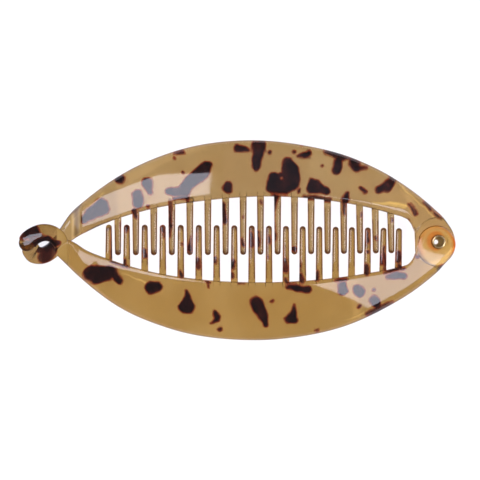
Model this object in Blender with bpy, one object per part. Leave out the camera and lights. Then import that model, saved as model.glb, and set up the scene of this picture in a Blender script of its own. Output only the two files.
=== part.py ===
"""Banana hair clip: two arched, toothed jaws that turn on a brass eyelet and close with two hooks.

Lengths are written in millimetres and become metres when a mesh is made. The clip lies on its two
ends with its arched front up: X runs from the clasp (-X) to the hinge (+X), Y across the clip.
The upper jaw lies at +Y and the lower jaw at -Y. At both ends the lower jaw laps over the upper jaw.
"""

import math

import bmesh
import bpy
import numpy as np

MM = 0.001

# Fit of the pieces
GAP = 0.3
REAR_LAYER_TOP = 2.7
FRONT_LAYER_BOTTOM = REAR_LAYER_TOP + GAP

# Arch, as heights of the front face above the floor
ARCH_TOP = 14.6
ARCH_FALL = 8.7
ARCH_CENTRE_X = 3.0
ARCH_SPAN_TO_CLASP = 52.5
ARCH_SPAN_TO_HINGE = 57.5
END_HEIGHT = 5.6

# Plates
PLATE_THICKNESS = 2.6
PLATE_CROWN = 3.2
PLATE_WIDEST = 17.0
SLOT_HALF_WIDTH = 12.6
SLOT_CENTRE_X = 5.0
SLOT_HALF_LENGTH = 54.0
UPPER_UNDERSIDE_AT_ENDS = 0.0
LOWER_UNDERSIDE_AT_ENDS = FRONT_LAYER_BOTTOM

# Stretches of X over which the undersides run down to the level of the lugs and hooks
THICK_TOWARDS_HINGE = (34.0, 55.0)
THICK_TOWARDS_CLASP = (35.0, 51.0)

# Stretch of -X over which the front faces run to their level at the clasp
LEVEL_TOWARDS_CLASP = (44.8, 49.2)
UPPER_LEVEL_AT_CLASP = REAR_LAYER_TOP
LOWER_LEVEL_AT_CLASP = END_HEIGHT

# Section of a plate: rounded inner edge, rolled outer edge and bevelled back edges
INNER_EDGE_RADIUS = 0.75
OUTER_ROLL_WIDTH = 1.5
OUTER_ROLL_DROP = 1.25
BACK_EDGE = 0.35
FULL_WIDTH = 5.0

# Hinge
PIVOT_X = 60.1
PIVOT_Y = -0.5
UPPER_LUG_X = 58.9
UPPER_LUG_Y = -1.3
UPPER_LUG_RADIUS = 6.2
UPPER_NOSE_FROM_X = 63.4
UPPER_NOSE_STRETCH = 1.266
LOWER_LUG_X = 59.4
LOWER_LUG_Y = -1.3
LOWER_LUG_RADIUS = 5.7
LOWER_NOSE_FROM_X = 63.2
LUG_BORE_RADIUS = 1.9
EYELET_OUTER_RADIUS = 1.62
EYELET_BORE_RADIUS = 1.36
EYELET_FLANGE_RADIUS = 2.2
EYELET_FLANGE_THICKNESS = 0.45
FLANGE_SEAT_RADIUS = EYELET_FLANGE_RADIUS + GAP
FLANGE_SEAT_HEIGHT = 5.2
REAR_SEAT_DEPTH = 0.95

# Outer edge of each plate, clasp to hinge: X, Y
UPPER_OUTER_EDGE = (
    (-53.4, 2.4), (-49.6, 7.9), (-45.2, 11.8), (-34.8, 19.2), (-20.0, 25.9), (3.1, 29.65),
    (17.9, 28.5), (36.7, 23.5), (48.3, 17.4), (59.0, 9.1), (61.6, 6.6), (63.4, 4.1), (65.0, 1.5),
)
LOWER_OUTER_EDGE = (
    (-53.4, -4.6), (-47.2, -10.6), (-36.6, -18.9), (-20.7, -26.0), (1.7, -29.6), (15.0, -29.1),
    (35.9, -24.1), (44.4, -20.0), (53.0, -14.8), (57.3, -11.5), (60.3, -8.85), (61.4, -7.6), (63.2, -5.55),
    (65.0, -2.2),
)

# Inner edge of each plate, from the clasp along the tooth slot to the lug: X, Y
UPPER_INNER_EDGE = (
    (-53.4, -3.9), (-49.0, -0.05), (-44.0, 2.75), (-36.6, 5.9), (-25.7, 9.1), (-10.1, 11.6), (8.0, 12.9),
    (30.1, 11.3), (39.7, 9.5), (46.7, 7.6), (49.4, 6.8), (51.2, 5.6), (52.3, 3.6), (52.9, 1.3), (53.05, -0.5),
)
LOWER_INNER_EDGE = (
    (-53.4, -2.6), (-52.0, -0.9), (-50.5, 0.1), (-49.0, -0.35), (-44.6, -3.0), (-39.6, -5.0),
    (-26.2, -9.1), (-10.3, -11.6), (10.2, -12.4), (30.1, -11.0), (39.7, -9.6), (46.8, -8.3), (49.1, -7.7),
    (51.2, -6.8), (52.5, -5.0), (53.3, -2.9), (53.75, -1.3),
)

# Teeth
UPPER_TEETH = 17
LOWER_TEETH = 18
UPPER_FIRST_TOOTH_X = -35.3
LOWER_FIRST_TOOTH_X = -38.0
TOOTH_PITCH_AT_CLASP = 5.35
TOOTH_PITCH_LOSS = 0.0024
TOOTH_PITCH_EVEN_TO_X = -15.0
TOOTH_ROOT_WIDTH = 2.1
TOOTH_TIP_WIDTH = 1.8
TOOTH_THICKNESS = 1.9
TOOTH_BELOW_FRONT_FACE = 1.0
TOOTH_ROOT_IN_PLATE = 1.4
TOOTH_DIP = 1.2
TOOTH_EDGE = 0.4
TOOTH_LEAN = 0.28
TOOTH_LEAN_OVER_X = (20.0, 45.0)
UPPER_TIP_AT_CLASP = -4.5
UPPER_TIP_AT_HINGE = -3.9
LOWER_TIP_AT_CLASP = 4.65
LOWER_TIP_AT_HINGE = 3.6

# Clasp hooks, from the plate to the free end: X, Y of the middle line and the half width there
UPPER_HOOK = (
    (-50.2, 2.4, 1.7), (-51.4, 0.9, 1.8), (-53.0, -0.8, 2.2), (-55.1, -3.1, 2.4), (-57.6, -4.45, 2.5),
    (-60.1, -4.3, 2.65), (-61.2, -3.05, 2.7),
)
LOWER_HOOK = (
    (-52.1, -1.4, 2.2), (-53.4, 0.75, 2.45), (-55.45, 2.05, 2.5), (-57.95, 2.2, 2.6), (-60.25, 1.3, 2.7),
    (-61.95, -0.1, 2.85), (-62.4, -0.85, 2.45),
)
HOOK_TOP = 6.7
HOOK_EDGE = 0.8
HOOK_STATIONS = 26


def curve_through(table, x):
    """Heights at x of the smooth curve through the rows of a table, with Hermite stretches."""
    px = np.array([row[0] for row in table])
    py = np.array([row[1] for row in table])
    steps = np.diff(py) / np.diff(px)
    slope = np.empty_like(py)
    slope[0] = steps[0]
    slope[-1] = steps[-1]
    weight_left = np.diff(px)[1:]
    weight_right = np.diff(px)[:-1]
    slope[1:-1] = (steps[:-1] * weight_left + steps[1:] * weight_right) / (weight_left + weight_right)
    x = np.clip(x, px[0], px[-1])
    k = np.clip(np.searchsorted(px, x) - 1, 0, len(px) - 2)
    span = px[k + 1] - px[k]
    t = (x - px[k]) / span
    from_left = (1 + 2 * t) * (1 - t) ** 2 * py[k] + t * (1 - t) ** 2 * span * slope[k]
    from_right = t * t * (3 - 2 * t) * py[k + 1] + t * t * (t - 1) * span * slope[k + 1]
    return from_left + from_right


def path_through(table, count):
    """Evenly numbered points of the smooth path through the rows of a table, all columns alike."""
    rows = np.array(table)
    index = np.arange(len(rows), dtype=float)
    at = np.linspace(0, len(rows) - 1, count)
    columns = [curve_through(list(zip(index, rows[:, c])), at) for c in range(rows.shape[1])]
    return np.stack(columns, axis=1)


def arch(x):
    """Height of the front face along the slot: a parabola that flattens out at the low clasp end."""
    span = np.where(x < ARCH_CENTRE_X, ARCH_SPAN_TO_CLASP, ARCH_SPAN_TO_HINGE)
    hump = ARCH_TOP - ARCH_FALL * ((x - ARCH_CENTRE_X) / span) ** 2
    softness = 0.8
    flattened = 0.5 * (hump + END_HEIGHT + np.sqrt((hump - END_HEIGHT) ** 2 + softness**2))
    return np.where(x < 0, flattened, hump)


def crowned(x, y):
    """Height of the front face at any point in plan: it falls away from the slot to the outer edge."""
    slot = SLOT_HALF_WIDTH * (1 - ((x - SLOT_CENTRE_X) / SLOT_HALF_LENGTH) ** 2)
    beyond = np.clip(np.abs(y) - np.clip(slot, 0, None), 0, None)
    return arch(x) - PLATE_CROWN * (beyond / PLATE_WIDEST) ** 2


def ramp(x, start, end):
    """Smooth step from 0 at start to 1 at end."""
    t = np.clip((x - start) / (end - start), 0, 1)
    return t * t * (3 - 2 * t)


def lug_half_chord(x, lug_x, radius):
    """Half the width of a round lug at x, zero outside it."""
    return np.sqrt(np.clip(radius**2 - (x - lug_x) ** 2, 0, None))


def upper_edges(x):
    """Inner and outer Y of the upper jaw in plan, with its round lug."""
    half = lug_half_chord(x, UPPER_LUG_X, UPPER_LUG_RADIUS)
    inner = np.where(x > UPPER_INNER_EDGE[-1][0], UPPER_LUG_Y - half, curve_through(UPPER_INNER_EDGE, x))
    nose = UPPER_LUG_Y + UPPER_NOSE_STRETCH * half
    outer = np.where(x > UPPER_NOSE_FROM_X, nose, curve_through(UPPER_OUTER_EDGE, x))
    return inner, outer


def lower_edges(x):
    """Inner and outer Y of the lower jaw in plan, with its round lug."""
    half = lug_half_chord(x, LOWER_LUG_X, LOWER_LUG_RADIUS)
    inner = np.where(x > LOWER_INNER_EDGE[-1][0], LOWER_LUG_Y + half, curve_through(LOWER_INNER_EDGE, x))
    outer = np.where(x > LOWER_NOSE_FROM_X, LOWER_LUG_Y - half, curve_through(LOWER_OUTER_EDGE, x))
    return inner, outer


def new_object(name, vertices, faces, material=None):
    """Mesh object from points in millimetres, with outward faces and smooth round sides."""
    mesh = bpy.data.meshes.new(name)
    mesh.from_pydata([tuple(float(c) * MM for c in v) for v in vertices], [], faces)
    bm = bmesh.new()
    bm.from_mesh(mesh)
    bmesh.ops.recalc_face_normals(bm, faces=bm.faces)
    bm.to_mesh(mesh)
    bm.free()
    mesh.shade_smooth()
    mesh.set_sharp_from_angle(angle=math.radians(40))
    obj = bpy.data.objects.new(name, mesh)
    bpy.context.scene.collection.objects.link(obj)
    if material:
        mesh.materials.append(material)
    return obj


def skin(rings):
    """Vertices and faces of a closed tube through rings of equal length, with flat end caps."""
    count = len(rings[0])
    vertices = [point for ring in rings for point in ring]
    faces = []
    for r in range(len(rings) - 1):
        for k in range(count):
            after = (k + 1) % count
            faces.append((r * count + k, r * count + after, (r + 1) * count + after, (r + 1) * count + k))
    last = (len(rings) - 1) * count
    faces.append(tuple(reversed(range(count))))
    faces.append(tuple(range(last, last + count)))
    return vertices, faces


def plate_section(x, inner, outer, level_at_clasp, bottom_at_ends):
    """One closed ring of the plate at x: rounded inner edge, crowned face and rolled outer edge."""
    width = abs(outer - inner)
    side = 1.0 if outer > inner else -1.0
    small = min(1.0, width / FULL_WIDTH)
    level = ramp(-x, *LEVEL_TOWARDS_CLASP)
    thick_end = max(ramp(x, *THICK_TOWARDS_HINGE), ramp(-x, *THICK_TOWARDS_CLASP))

    def face(d):
        arched = float(crowned(x, inner + side * d))
        return arched + (level_at_clasp - arched) * level

    def back(d):
        thin = float(crowned(x, inner + side * d)) - PLATE_THICKNESS
        return thin + (bottom_at_ends - thin) * thick_end

    def at(d, z):
        return (x, inner + side * d, z)

    edge = BACK_EDGE * small
    round_in = INNER_EDGE_RADIUS * small
    roll = OUTER_ROLL_WIDTH * small
    drop = OUTER_ROLL_DROP * small
    inner_edge = [at(edge, back(edge)), at(0, back(0) + edge), at(0, face(0) - round_in),
                  at(0.3 * round_in, face(0) - 0.3 * round_in), at(round_in, face(round_in))]
    crown = [at(share * width, face(share * width)) for share in (0.28, 0.5, 0.68)]
    outer_edge = [at(width - roll, face(width - roll)), at(width - 0.5 * roll, face(width) - 0.1 * drop),
                  at(width - 0.13 * roll, face(width) - 0.48 * drop), at(width, face(width) - drop),
                  at(width, back(width) + edge), at(width - edge, back(width - edge))]
    underside = [at(share * width, back(share * width)) for share in (0.66, 0.33)]
    return inner_edge + crown + outer_edge + underside


def stations(fillet_end, nose):
    """X of the rings: even along the plate, closer in the fillet and round the nose of the lug."""
    plate = np.linspace(-53.3, 48.0, 44)
    fillet = np.linspace(49.2, fillet_end, 9)
    middle = 0.5 * (fillet_end + nose)
    reach = 0.5 * (nose - fillet_end)
    lug = middle - reach * np.cos(np.linspace(0.12, math.pi - 0.03, 18))
    return np.concatenate([plate, fillet, lug])


def plate(name, edges, fillet_end, nose, level_at_clasp, bottom_at_ends, material):
    """Arched plate of one jaw with the round lug at its hinge end."""
    xs = stations(fillet_end, nose)
    inner, outer = edges(xs)
    rings = [plate_section(*row, level_at_clasp, bottom_at_ends) for row in zip(xs, inner, outer)]
    return new_object(name, *skin(rings), material)


def tooth_rings(x, root_y, tip_y):
    """Four stacked outlines of one tooth: straight sides that taper to a half-round tip."""
    side = 1.0 if tip_y > root_y else -1.0
    length = abs(tip_y - root_y)
    root = TOOTH_ROOT_WIDTH / 2
    tip = TOOTH_TIP_WIDTH / 2
    straight = length - tip
    lean = TOOTH_LEAN * ramp(x, *TOOTH_LEAN_OVER_X)
    turns = np.linspace(0, math.pi, 8)
    outline = [(root, 0.0), (0.5 * (root + tip), 0.5 * straight)]
    outline += [(tip * math.cos(a), straight + tip * math.sin(a)) for a in turns]
    outline += [(-0.5 * (root + tip), 0.5 * straight), (-root, 0.0)]
    top = float(arch(np.array(x))) - TOOTH_BELOW_FRONT_FACE
    middle_y = 0.5 * straight

    def ring(inset, z):
        points = []
        for across, along in outline:
            keep = 1 - inset / tip
            kept_along = along if along < straight else straight + (along - straight) * keep
            share = along / length
            dip = TOOTH_DIP * share**2
            shift = lean * (along - middle_y) / length
            points.append((x + across * keep + shift, root_y + side * kept_along, top + z - dip))
        return points

    return [ring(TOOTH_EDGE * 0.6, -TOOTH_THICKNESS), ring(0, -TOOTH_THICKNESS + TOOTH_EDGE),
            ring(0, -TOOTH_EDGE), ring(TOOTH_EDGE, 0)]


def tooth_places(first_x, count):
    """X of each tooth: the pitch is even at first and then shrinks steadily towards the hinge."""
    xs = [first_x]
    for _ in range(count - 1):
        past = max(0.0, xs[-1] - TOOTH_PITCH_EVEN_TO_X)
        xs.append(xs[-1] + TOOTH_PITCH_AT_CLASP * (1 - TOOTH_PITCH_LOSS * past))
    return xs


def teeth(name, first_x, count, inner_edge, tip_at_clasp, tip_at_hinge):
    """All teeth of one jaw as loose bodies of one helper mesh."""
    vertices = []
    faces = []
    xs = tooth_places(first_x, count)
    for x in xs:
        edge = float(curve_through(inner_edge, np.array(x)))
        side = 1.0 if edge > 0 else -1.0
        share = (x - xs[0]) / (xs[-1] - xs[0])
        tip = tip_at_clasp + (tip_at_hinge - tip_at_clasp) * share**2
        more_vertices, more_faces = skin(tooth_rings(x, edge + side * TOOTH_ROOT_IN_PLATE, tip))
        start = len(vertices)
        vertices += more_vertices
        faces += [tuple(start + k for k in face) for face in more_faces]
    return new_object(name, vertices, faces)


def hook(name, table, bottom, top):
    """Clasp hook: a band with rounded edges along its middle line, closed by a round free end."""
    points = path_through(table, HOOK_STATIONS)
    middle = points[:, :2]
    half = points[:, 2]
    heading = np.gradient(middle, axis=0)
    heading /= np.linalg.norm(heading, axis=1)[:, None]
    across = np.stack([-heading[:, 1], heading[:, 0]], axis=1)
    end = middle[-1]
    end_half = half[-1]
    end_across = across[-1]
    for angle in np.radians((30.0, 55.0, 75.0, 87.0)):
        middle = np.vstack([middle, end + heading[-1] * end_half * math.sin(angle)])
        half = np.append(half, end_half * math.cos(angle))
        across = np.vstack([across, end_across])
    rings = []
    for centre, side, reach in zip(middle, across, half):
        soft = HOOK_EDGE * min(1.0, reach / end_half)
        corner = 0.3 * min(1.0, reach / end_half)
        profile = [
            (-reach + corner, bottom), (-reach, bottom + corner), (-reach, top - soft),
            (-reach + 0.3 * soft, top - 0.3 * soft), (-reach + soft, top),
            (reach - soft, top), (reach - 0.3 * soft, top - 0.3 * soft), (reach, top - soft),
            (reach, bottom + corner), (reach - corner, bottom),
        ]
        rings.append([(centre[0] + side[0] * d, centre[1] + side[1] * d, z) for d, z in profile])
    return new_object(name, *skin(rings))


def prism(name, outline, bottom, top):
    """Upright prism on a plan outline."""
    rings = [[(x, y, z) for x, y in outline] for z in (bottom, top)]
    return new_object(name, *skin(rings))


def cylinder(name, x, y, radius, bottom, top, sides=48):
    """Upright cylinder."""
    turns = np.arange(sides) * 2 * math.pi / sides
    return prism(name, [(x + radius * math.cos(a), y + radius * math.sin(a)) for a in turns], bottom, top)


def upper_lug_room(name):
    """Room above the rear lug of the upper jaw, on the lower jaw's side of the lug's centre."""
    outline = [(50.0, UPPER_LUG_Y), (50.0, -12.0), (70.0, -12.0), (70.0, UPPER_LUG_Y)]
    return prism(name, outline, REAR_LAYER_TOP, 20.0)


def combine(target, helper, operation):
    """Exact Boolean of a helper with the target; the helper stays as a hidden wire guide."""
    modifier = target.modifiers.new(helper.name, "BOOLEAN")
    modifier.operation = operation
    modifier.object = helper
    modifier.solver = "EXACT"
    helper.hide_render = True
    helper.display_type = "WIRE"


def plastic(name, colour):
    """Glossy see-through moulded plastic."""
    material = bpy.data.materials.new(name)
    material.use_nodes = True
    shader = material.node_tree.nodes["Principled BSDF"]
    shader.inputs["Base Color"].default_value = (*colour, 1.0)
    shader.inputs["Roughness"].default_value = 0.15
    return material


def brass():
    """Gold-tone brass."""
    material = bpy.data.materials.new("brass")
    material.use_nodes = True
    shader = material.node_tree.nodes["Principled BSDF"]
    shader.inputs["Base Color"].default_value = (0.83, 0.6, 0.25, 1.0)
    shader.inputs["Metallic"].default_value = 1.0
    shader.inputs["Roughness"].default_value = 0.25
    return material


def set_origin(obj, x, y, z):
    """Move the origin of an object to a point and leave its shape where it is."""
    for vertex in obj.data.vertices:
        vertex.co.x -= x * MM
        vertex.co.y -= y * MM
        vertex.co.z -= z * MM
    obj.location = (x * MM, y * MM, z * MM)


def upper_jaw():
    """Rear jaw at both ends: its lug and its hook lie on the floor under those of the lower jaw."""
    nose = UPPER_LUG_X + UPPER_LUG_RADIUS
    jaw = plate("upper_jaw", upper_edges, UPPER_INNER_EDGE[-1][0], nose, UPPER_LEVEL_AT_CLASP,
                UPPER_UNDERSIDE_AT_ENDS, plastic("tortoiseshell_upper", (0.45, 0.26, 0.09)))
    row = teeth("upper_teeth", UPPER_FIRST_TOOTH_X, UPPER_TEETH, UPPER_INNER_EDGE,
                UPPER_TIP_AT_CLASP, UPPER_TIP_AT_HINGE)
    combine(jaw, row, "UNION")
    lug_offset = math.hypot(LOWER_LUG_X - PIVOT_X, LOWER_LUG_Y - PIVOT_Y)
    swing = LOWER_LUG_RADIUS + lug_offset + GAP
    combine(jaw, cylinder("upper_lap", PIVOT_X, PIVOT_Y, swing, REAR_LAYER_TOP, 20.0), "DIFFERENCE")
    combine(jaw, upper_lug_room("upper_lug_lap"), "DIFFERENCE")
    combine(jaw, hook("upper_hook", UPPER_HOOK, 0.0, REAR_LAYER_TOP), "UNION")
    combine(jaw, cylinder("upper_bore", PIVOT_X, PIVOT_Y, LUG_BORE_RADIUS, -5.0, 20.0, 32), "DIFFERENCE")
    seat = cylinder("upper_seat", PIVOT_X, PIVOT_Y, FLANGE_SEAT_RADIUS, -5.0, REAR_SEAT_DEPTH, 32)
    combine(jaw, seat, "DIFFERENCE")
    return jaw


def lower_jaw():
    """Front jaw at both ends: it swings on the eyelet over the upper jaw."""
    nose = LOWER_LUG_X + LOWER_LUG_RADIUS
    jaw = plate("lower_jaw", lower_edges, LOWER_INNER_EDGE[-1][0], nose, LOWER_LEVEL_AT_CLASP,
                LOWER_UNDERSIDE_AT_ENDS, plastic("tortoiseshell_lower", (0.45, 0.26, 0.09)))
    set_origin(jaw, PIVOT_X, PIVOT_Y, 0.0)
    row = teeth("lower_teeth", LOWER_FIRST_TOOTH_X, LOWER_TEETH, LOWER_INNER_EDGE,
                LOWER_TIP_AT_CLASP, LOWER_TIP_AT_HINGE)
    combine(jaw, row, "UNION")
    combine(jaw, hook("lower_hook", LOWER_HOOK, FRONT_LAYER_BOTTOM, HOOK_TOP), "UNION")
    combine(jaw, cylinder("lower_bore", PIVOT_X, PIVOT_Y, LUG_BORE_RADIUS, -5.0, 20.0, 32), "DIFFERENCE")
    seat = cylinder("lower_seat", PIVOT_X, PIVOT_Y, FLANGE_SEAT_RADIUS, FLANGE_SEAT_HEIGHT, 20.0, 32)
    combine(jaw, seat, "DIFFERENCE")
    return jaw


def hinge_eyelet():
    """Brass tube with a flange at each end, turned as one closed ring of sections."""
    low = REAR_SEAT_DEPTH - GAP
    high = FLANGE_SEAT_HEIGHT + GAP
    lip = EYELET_FLANGE_THICKNESS
    tube = EYELET_OUTER_RADIUS
    bore = EYELET_BORE_RADIUS
    rim = EYELET_FLANGE_RADIUS
    profile = [
        (bore, low - lip + 0.2), (bore, high + lip - 0.3), (bore + 0.12, high + lip - 0.1),
        (0.5 * (bore + rim), high + lip), (rim - 0.15, high + lip - 0.1), (rim, high + 0.15), (rim, high),
        (tube, high), (tube, low), (rim, low), (rim, low - 0.15), (rim - 0.15, low - lip + 0.05),
        (bore + 0.2, low - lip),
    ]
    sides = 40
    vertices = []
    for k in range(sides):
        turn = 2 * math.pi * k / sides
        vertices += [(r * math.cos(turn), r * math.sin(turn), z) for r, z in profile]
    count = len(profile)
    faces = []
    for k in range(sides):
        here = k * count
        there = ((k + 1) % sides) * count
        faces += [(here + p, here + (p + 1) % count, there + (p + 1) % count, there + p) for p in range(count)]
    obj = new_object("hinge_eyelet", vertices, faces, brass())
    obj.location = (PIVOT_X * MM, PIVOT_Y * MM, 0.0)
    return obj


def clear_scene():
    """Start from an empty scene."""
    for obj in list(bpy.data.objects):
        bpy.data.objects.remove(obj, do_unlink=True)


clear_scene()
upper_jaw()
lower_jaw()
hinge_eyelet()
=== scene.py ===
"""Banana hair clip in glossy tortoiseshell plastic with a brass eyelet, dressed for the studio.

The script is laid out as a Blender add-on and is run as a script. Lengths in the shape functions are
in millimetres and become metres when a mesh is made. X runs from the clasp to the hinge, +Y towards
the upper jaw, +Z up out of the arched front face.
"""

import math

import bmesh
import bpy
import numpy as np
from bpy.props import FloatProperty, FloatVectorProperty
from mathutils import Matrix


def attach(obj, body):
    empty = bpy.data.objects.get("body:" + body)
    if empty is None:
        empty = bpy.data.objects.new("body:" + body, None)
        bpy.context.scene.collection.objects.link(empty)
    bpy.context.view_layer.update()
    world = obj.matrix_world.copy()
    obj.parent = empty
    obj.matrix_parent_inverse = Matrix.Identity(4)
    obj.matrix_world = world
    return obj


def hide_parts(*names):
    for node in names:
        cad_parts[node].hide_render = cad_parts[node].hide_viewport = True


bl_info = {
    "name": "Banana hair clip",
    "version": (1, 0, 0),
    "blender": (4, 5, 0),
    "location": "3D View > Sidebar > Hair clip",
    "description": "Tortoiseshell jaws, brass eyelet and studio of a banana hair clip",
    "category": "Object",
}

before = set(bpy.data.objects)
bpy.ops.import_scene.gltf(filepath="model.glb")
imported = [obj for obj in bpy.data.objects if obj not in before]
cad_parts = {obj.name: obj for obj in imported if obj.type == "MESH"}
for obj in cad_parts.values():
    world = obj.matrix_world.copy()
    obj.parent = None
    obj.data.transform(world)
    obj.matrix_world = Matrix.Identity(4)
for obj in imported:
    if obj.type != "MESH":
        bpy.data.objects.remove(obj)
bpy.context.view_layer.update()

MM = 0.001

# Clean-up of a mesh: nearer points merge, shorter edges go, both in metres, and steeper folds are sharp
MERGE_DISTANCE = 0.000002
SHORT_EDGE = 0.000001
SHARP_ANGLE_DEGREES = 38

# Fit of the pieces
GAP = 0.3
REAR_LAYER_TOP = 2.7
FRONT_LAYER_BOTTOM = REAR_LAYER_TOP + GAP

# Heights well under and over the clip, for the shapes that are cut away from it
CUT_BOTTOM = -5.0
CUT_TOP = 20.0
CYLINDER_SIDES = 128

# Arch, as heights of the front face above the floor
ARCH_TOP = 14.6
ARCH_FALL = 8.7
ARCH_CENTRE_X = 3.0
ARCH_SPAN_TO_CLASP = 52.5
ARCH_SPAN_TO_HINGE = 57.5
END_HEIGHT = 5.6
END_SOFTNESS = 0.8

# Plates
PLATE_CROWN = 3.2
PLATE_WIDEST = 17.0
SLOT_HALF_WIDTH = 12.6
SLOT_CENTRE_X = 5.0
SLOT_HALF_LENGTH = 54.0
SLOT_SOFTNESS = 2.0
UPPER_UNDERSIDE_AT_ENDS = 0.0
LOWER_UNDERSIDE_AT_ENDS = FRONT_LAYER_BOTTOM

# Stretch of X, and of -X, over which the undersides run down to the level of the lugs and hooks
THICK_TOWARDS_HINGE = (34.0, 55.0)
THICK_TOWARDS_CLASP = (35.0, 51.0)

# Stretch of -X over which the upper jaw's front face falls to the rear layer at the clasp. The lower
# jaw's face doesn't fall, so its stretch lies beyond the clip.
UPPER_FALL = (46.2, 49.6)
NO_FALL = (99.0, 100.0)

# A plate narrower than this has smaller rounded edges, which never take more than a share of its width
FULL_EDGE_WIDTH = 6.0
BEAD_SHARE = 0.5
BEVEL_SHARE = 0.4
UNDERSIDE_EDGE = 0.35

# Points round a ring of a plate, and rings along it: an even stretch, the fillet and the round lug
BEAD_POINTS = 16
FACE_POINTS = 56
BEVEL_POINTS = 12
UNDERSIDE_POINTS = 40
PLATE_STRETCH = (-53.3, 48.0)
PLATE_RINGS = 290
FILLET_FROM_X = 48.2
FILLET_RINGS = 36
LUG_TURN = (0.08, math.pi - 0.02)
LUG_RINGS = 60

# Width of the rounded edge along the teeth: X, width
UPPER_BEAD = (
    (-53.4, 0.8), (-40.0, 1.0), (-10.0, 1.2), (20.0, 1.1), (36.0, 1.4), (45.0, 1.9), (52.0, 2.6),
)
LOWER_BEAD = (
    (-51.0, 1.0), (-45.0, 1.1), (-38.0, 0.7), (-22.0, 0.5), (-8.0, 0.7), (10.0, 1.1), (54.0, 1.1),
)

# Width of the flat facet along the teeth: X, width. Its slope is its fall for each millimetre.
UPPER_FACET = ((22.0, 0.0), (25.0, 1.6), (36.0, 1.95), (45.0, 2.5), (50.0, 3.1), (53.0, 3.3))
UPPER_FACET_SLOPE = 0.1
LOWER_FACET = (
    (-50.0, 0.0), (-45.2, 4.5), (-39.7, 2.6), (-31.0, 1.5), (-22.4, 1.15), (-9.5, 0.7), (-3.0, 0.0),
)
LOWER_FACET_SLOPE = 0.16

# Hinge
PIVOT_X = 60.1
PIVOT_Y = -0.5
UPPER_LUG_X = 58.9
UPPER_LUG_Y = -1.3
UPPER_LUG_RADIUS = 6.2
UPPER_NOSE_FROM_X = 63.4
UPPER_NOSE_STRETCH = 1.266
LOWER_LUG_X = 59.4
LOWER_LUG_Y = -1.3
LOWER_LUG_RADIUS = 5.7
LOWER_NOSE_FROM_X = 63.2
LUG_BORE_RADIUS = 1.9
EYELET_FLANGE_RADIUS = 2.2
EYELET_LIP_RADIUS = 2.02
EYELET_OUTER_RADIUS = 1.62
EYELET_BORE_RADIUS = 1.45
EYELET_THROAT_RADIUS = 0.6
EYELET_THROAT_OFFSET = 0.75
EYELET_BOTTOM = 0.2
EYELET_TOP = 5.95
EYELET_LIP_DEPTH = 0.42
EYELET_LIP_POWER = 0.8
EYELET_LIP_POINTS = 10
EYELET_CHAMFER = 0.1
EYELET_BACK_THICKNESS = 0.45
EYELET_BORE_DEPTH = 0.9
EYELET_THROAT_HEIGHT = 1.6
EYELET_THROAT_END = 0.3
EYELET_THROAT_POINTS = 12
EYELET_SIDES = 96
FLANGE_SEAT_RADIUS = EYELET_FLANGE_RADIUS + GAP
FLANGE_SEAT_HEIGHT = 5.2
REAR_SEAT_DEPTH = 0.95

# Room over the rear lug: how much wider the front lug's room gets for each millimetre up, and the box
SWING_ROOM_FLARE = 0.12
LUG_ROOM_X = (50.0, 70.0)
LUG_ROOM_TO_Y = -12.0

# Outer edge of each plate, clasp to hinge: X, Y
UPPER_OUTER_EDGE = (
    (-53.4, 2.4), (-49.6, 7.9), (-45.2, 11.8), (-34.8, 19.2), (-20.0, 25.9), (3.1, 29.65),
    (17.9, 28.5), (36.7, 23.5), (48.3, 17.4), (59.0, 9.1), (61.6, 6.6), (63.4, 4.1), (65.0, 1.5),
)
LOWER_OUTER_EDGE = (
    (-53.4, -4.6), (-47.2, -10.6), (-36.6, -18.9), (-20.7, -26.0), (1.7, -29.6), (15.0, -29.1),
    (35.9, -24.1), (44.4, -20.0), (53.0, -14.8), (57.3, -11.5), (60.3, -8.85), (61.4, -7.6), (63.2, -5.55),
    (65.0, -2.2),
)

# Inner edge of each plate, from the clasp along the tooth slot to the lug: X, Y
UPPER_INNER_EDGE = (
    (-53.4, -3.9), (-49.0, -0.05), (-44.0, 2.75), (-36.6, 5.9), (-25.7, 9.1), (-10.1, 11.6), (8.0, 12.9),
    (30.1, 11.3), (39.7, 9.5), (46.7, 7.6), (49.4, 6.8), (51.2, 5.6), (52.3, 3.6), (52.9, 1.3), (53.05, -0.5),
)
LOWER_INNER_EDGE = (
    (-53.4, -2.6), (-52.0, -0.9), (-50.5, 0.1), (-49.0, -0.35), (-44.6, -3.0), (-39.6, -5.0),
    (-26.2, -9.1), (-10.3, -11.6), (10.2, -12.4), (30.1, -11.0), (39.7, -9.6), (46.8, -8.3), (49.1, -7.7),
    (51.2, -6.8), (52.5, -5.0), (53.3, -2.9), (53.75, -1.3),
)

# Teeth
UPPER_TEETH = 17
LOWER_TEETH = 18
UPPER_FIRST_TOOTH_X = -35.3
LOWER_FIRST_TOOTH_X = -38.0
TOOTH_PITCH_AT_CLASP = 5.35
TOOTH_PITCH_LOSS = 0.0024
TOOTH_PITCH_EVEN_TO_X = -15.0
TOOTH_BELOW_FRONT_FACE = 1.0
TOOTH_ROOT_IN_PLATE = 1.4
TOOTH_DIP = 1.2
TOOTH_LEAN = 0.28
TOOTH_LEAN_OVER_X = (20.0, 45.0)
UPPER_TIP_AT_CLASP = -4.5
UPPER_TIP_AT_HINGE = -3.9
LOWER_TIP_AT_CLASP = 4.65
LOWER_TIP_AT_HINGE = 3.6
TOOTH_SIDE_POINTS = 28
TOOTH_TIP_POINTS = 9
TOOTH_DOME_LEVELS = 12
TOOTH_DOME_TURN = 0.47 * math.pi

# Small bevel at the flat back of a tooth: share by which it is drawn in, height over the back
TOOTH_BACK = ((0.30, 0.0), (0.10, 0.10), (0.0, 0.32))

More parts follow.
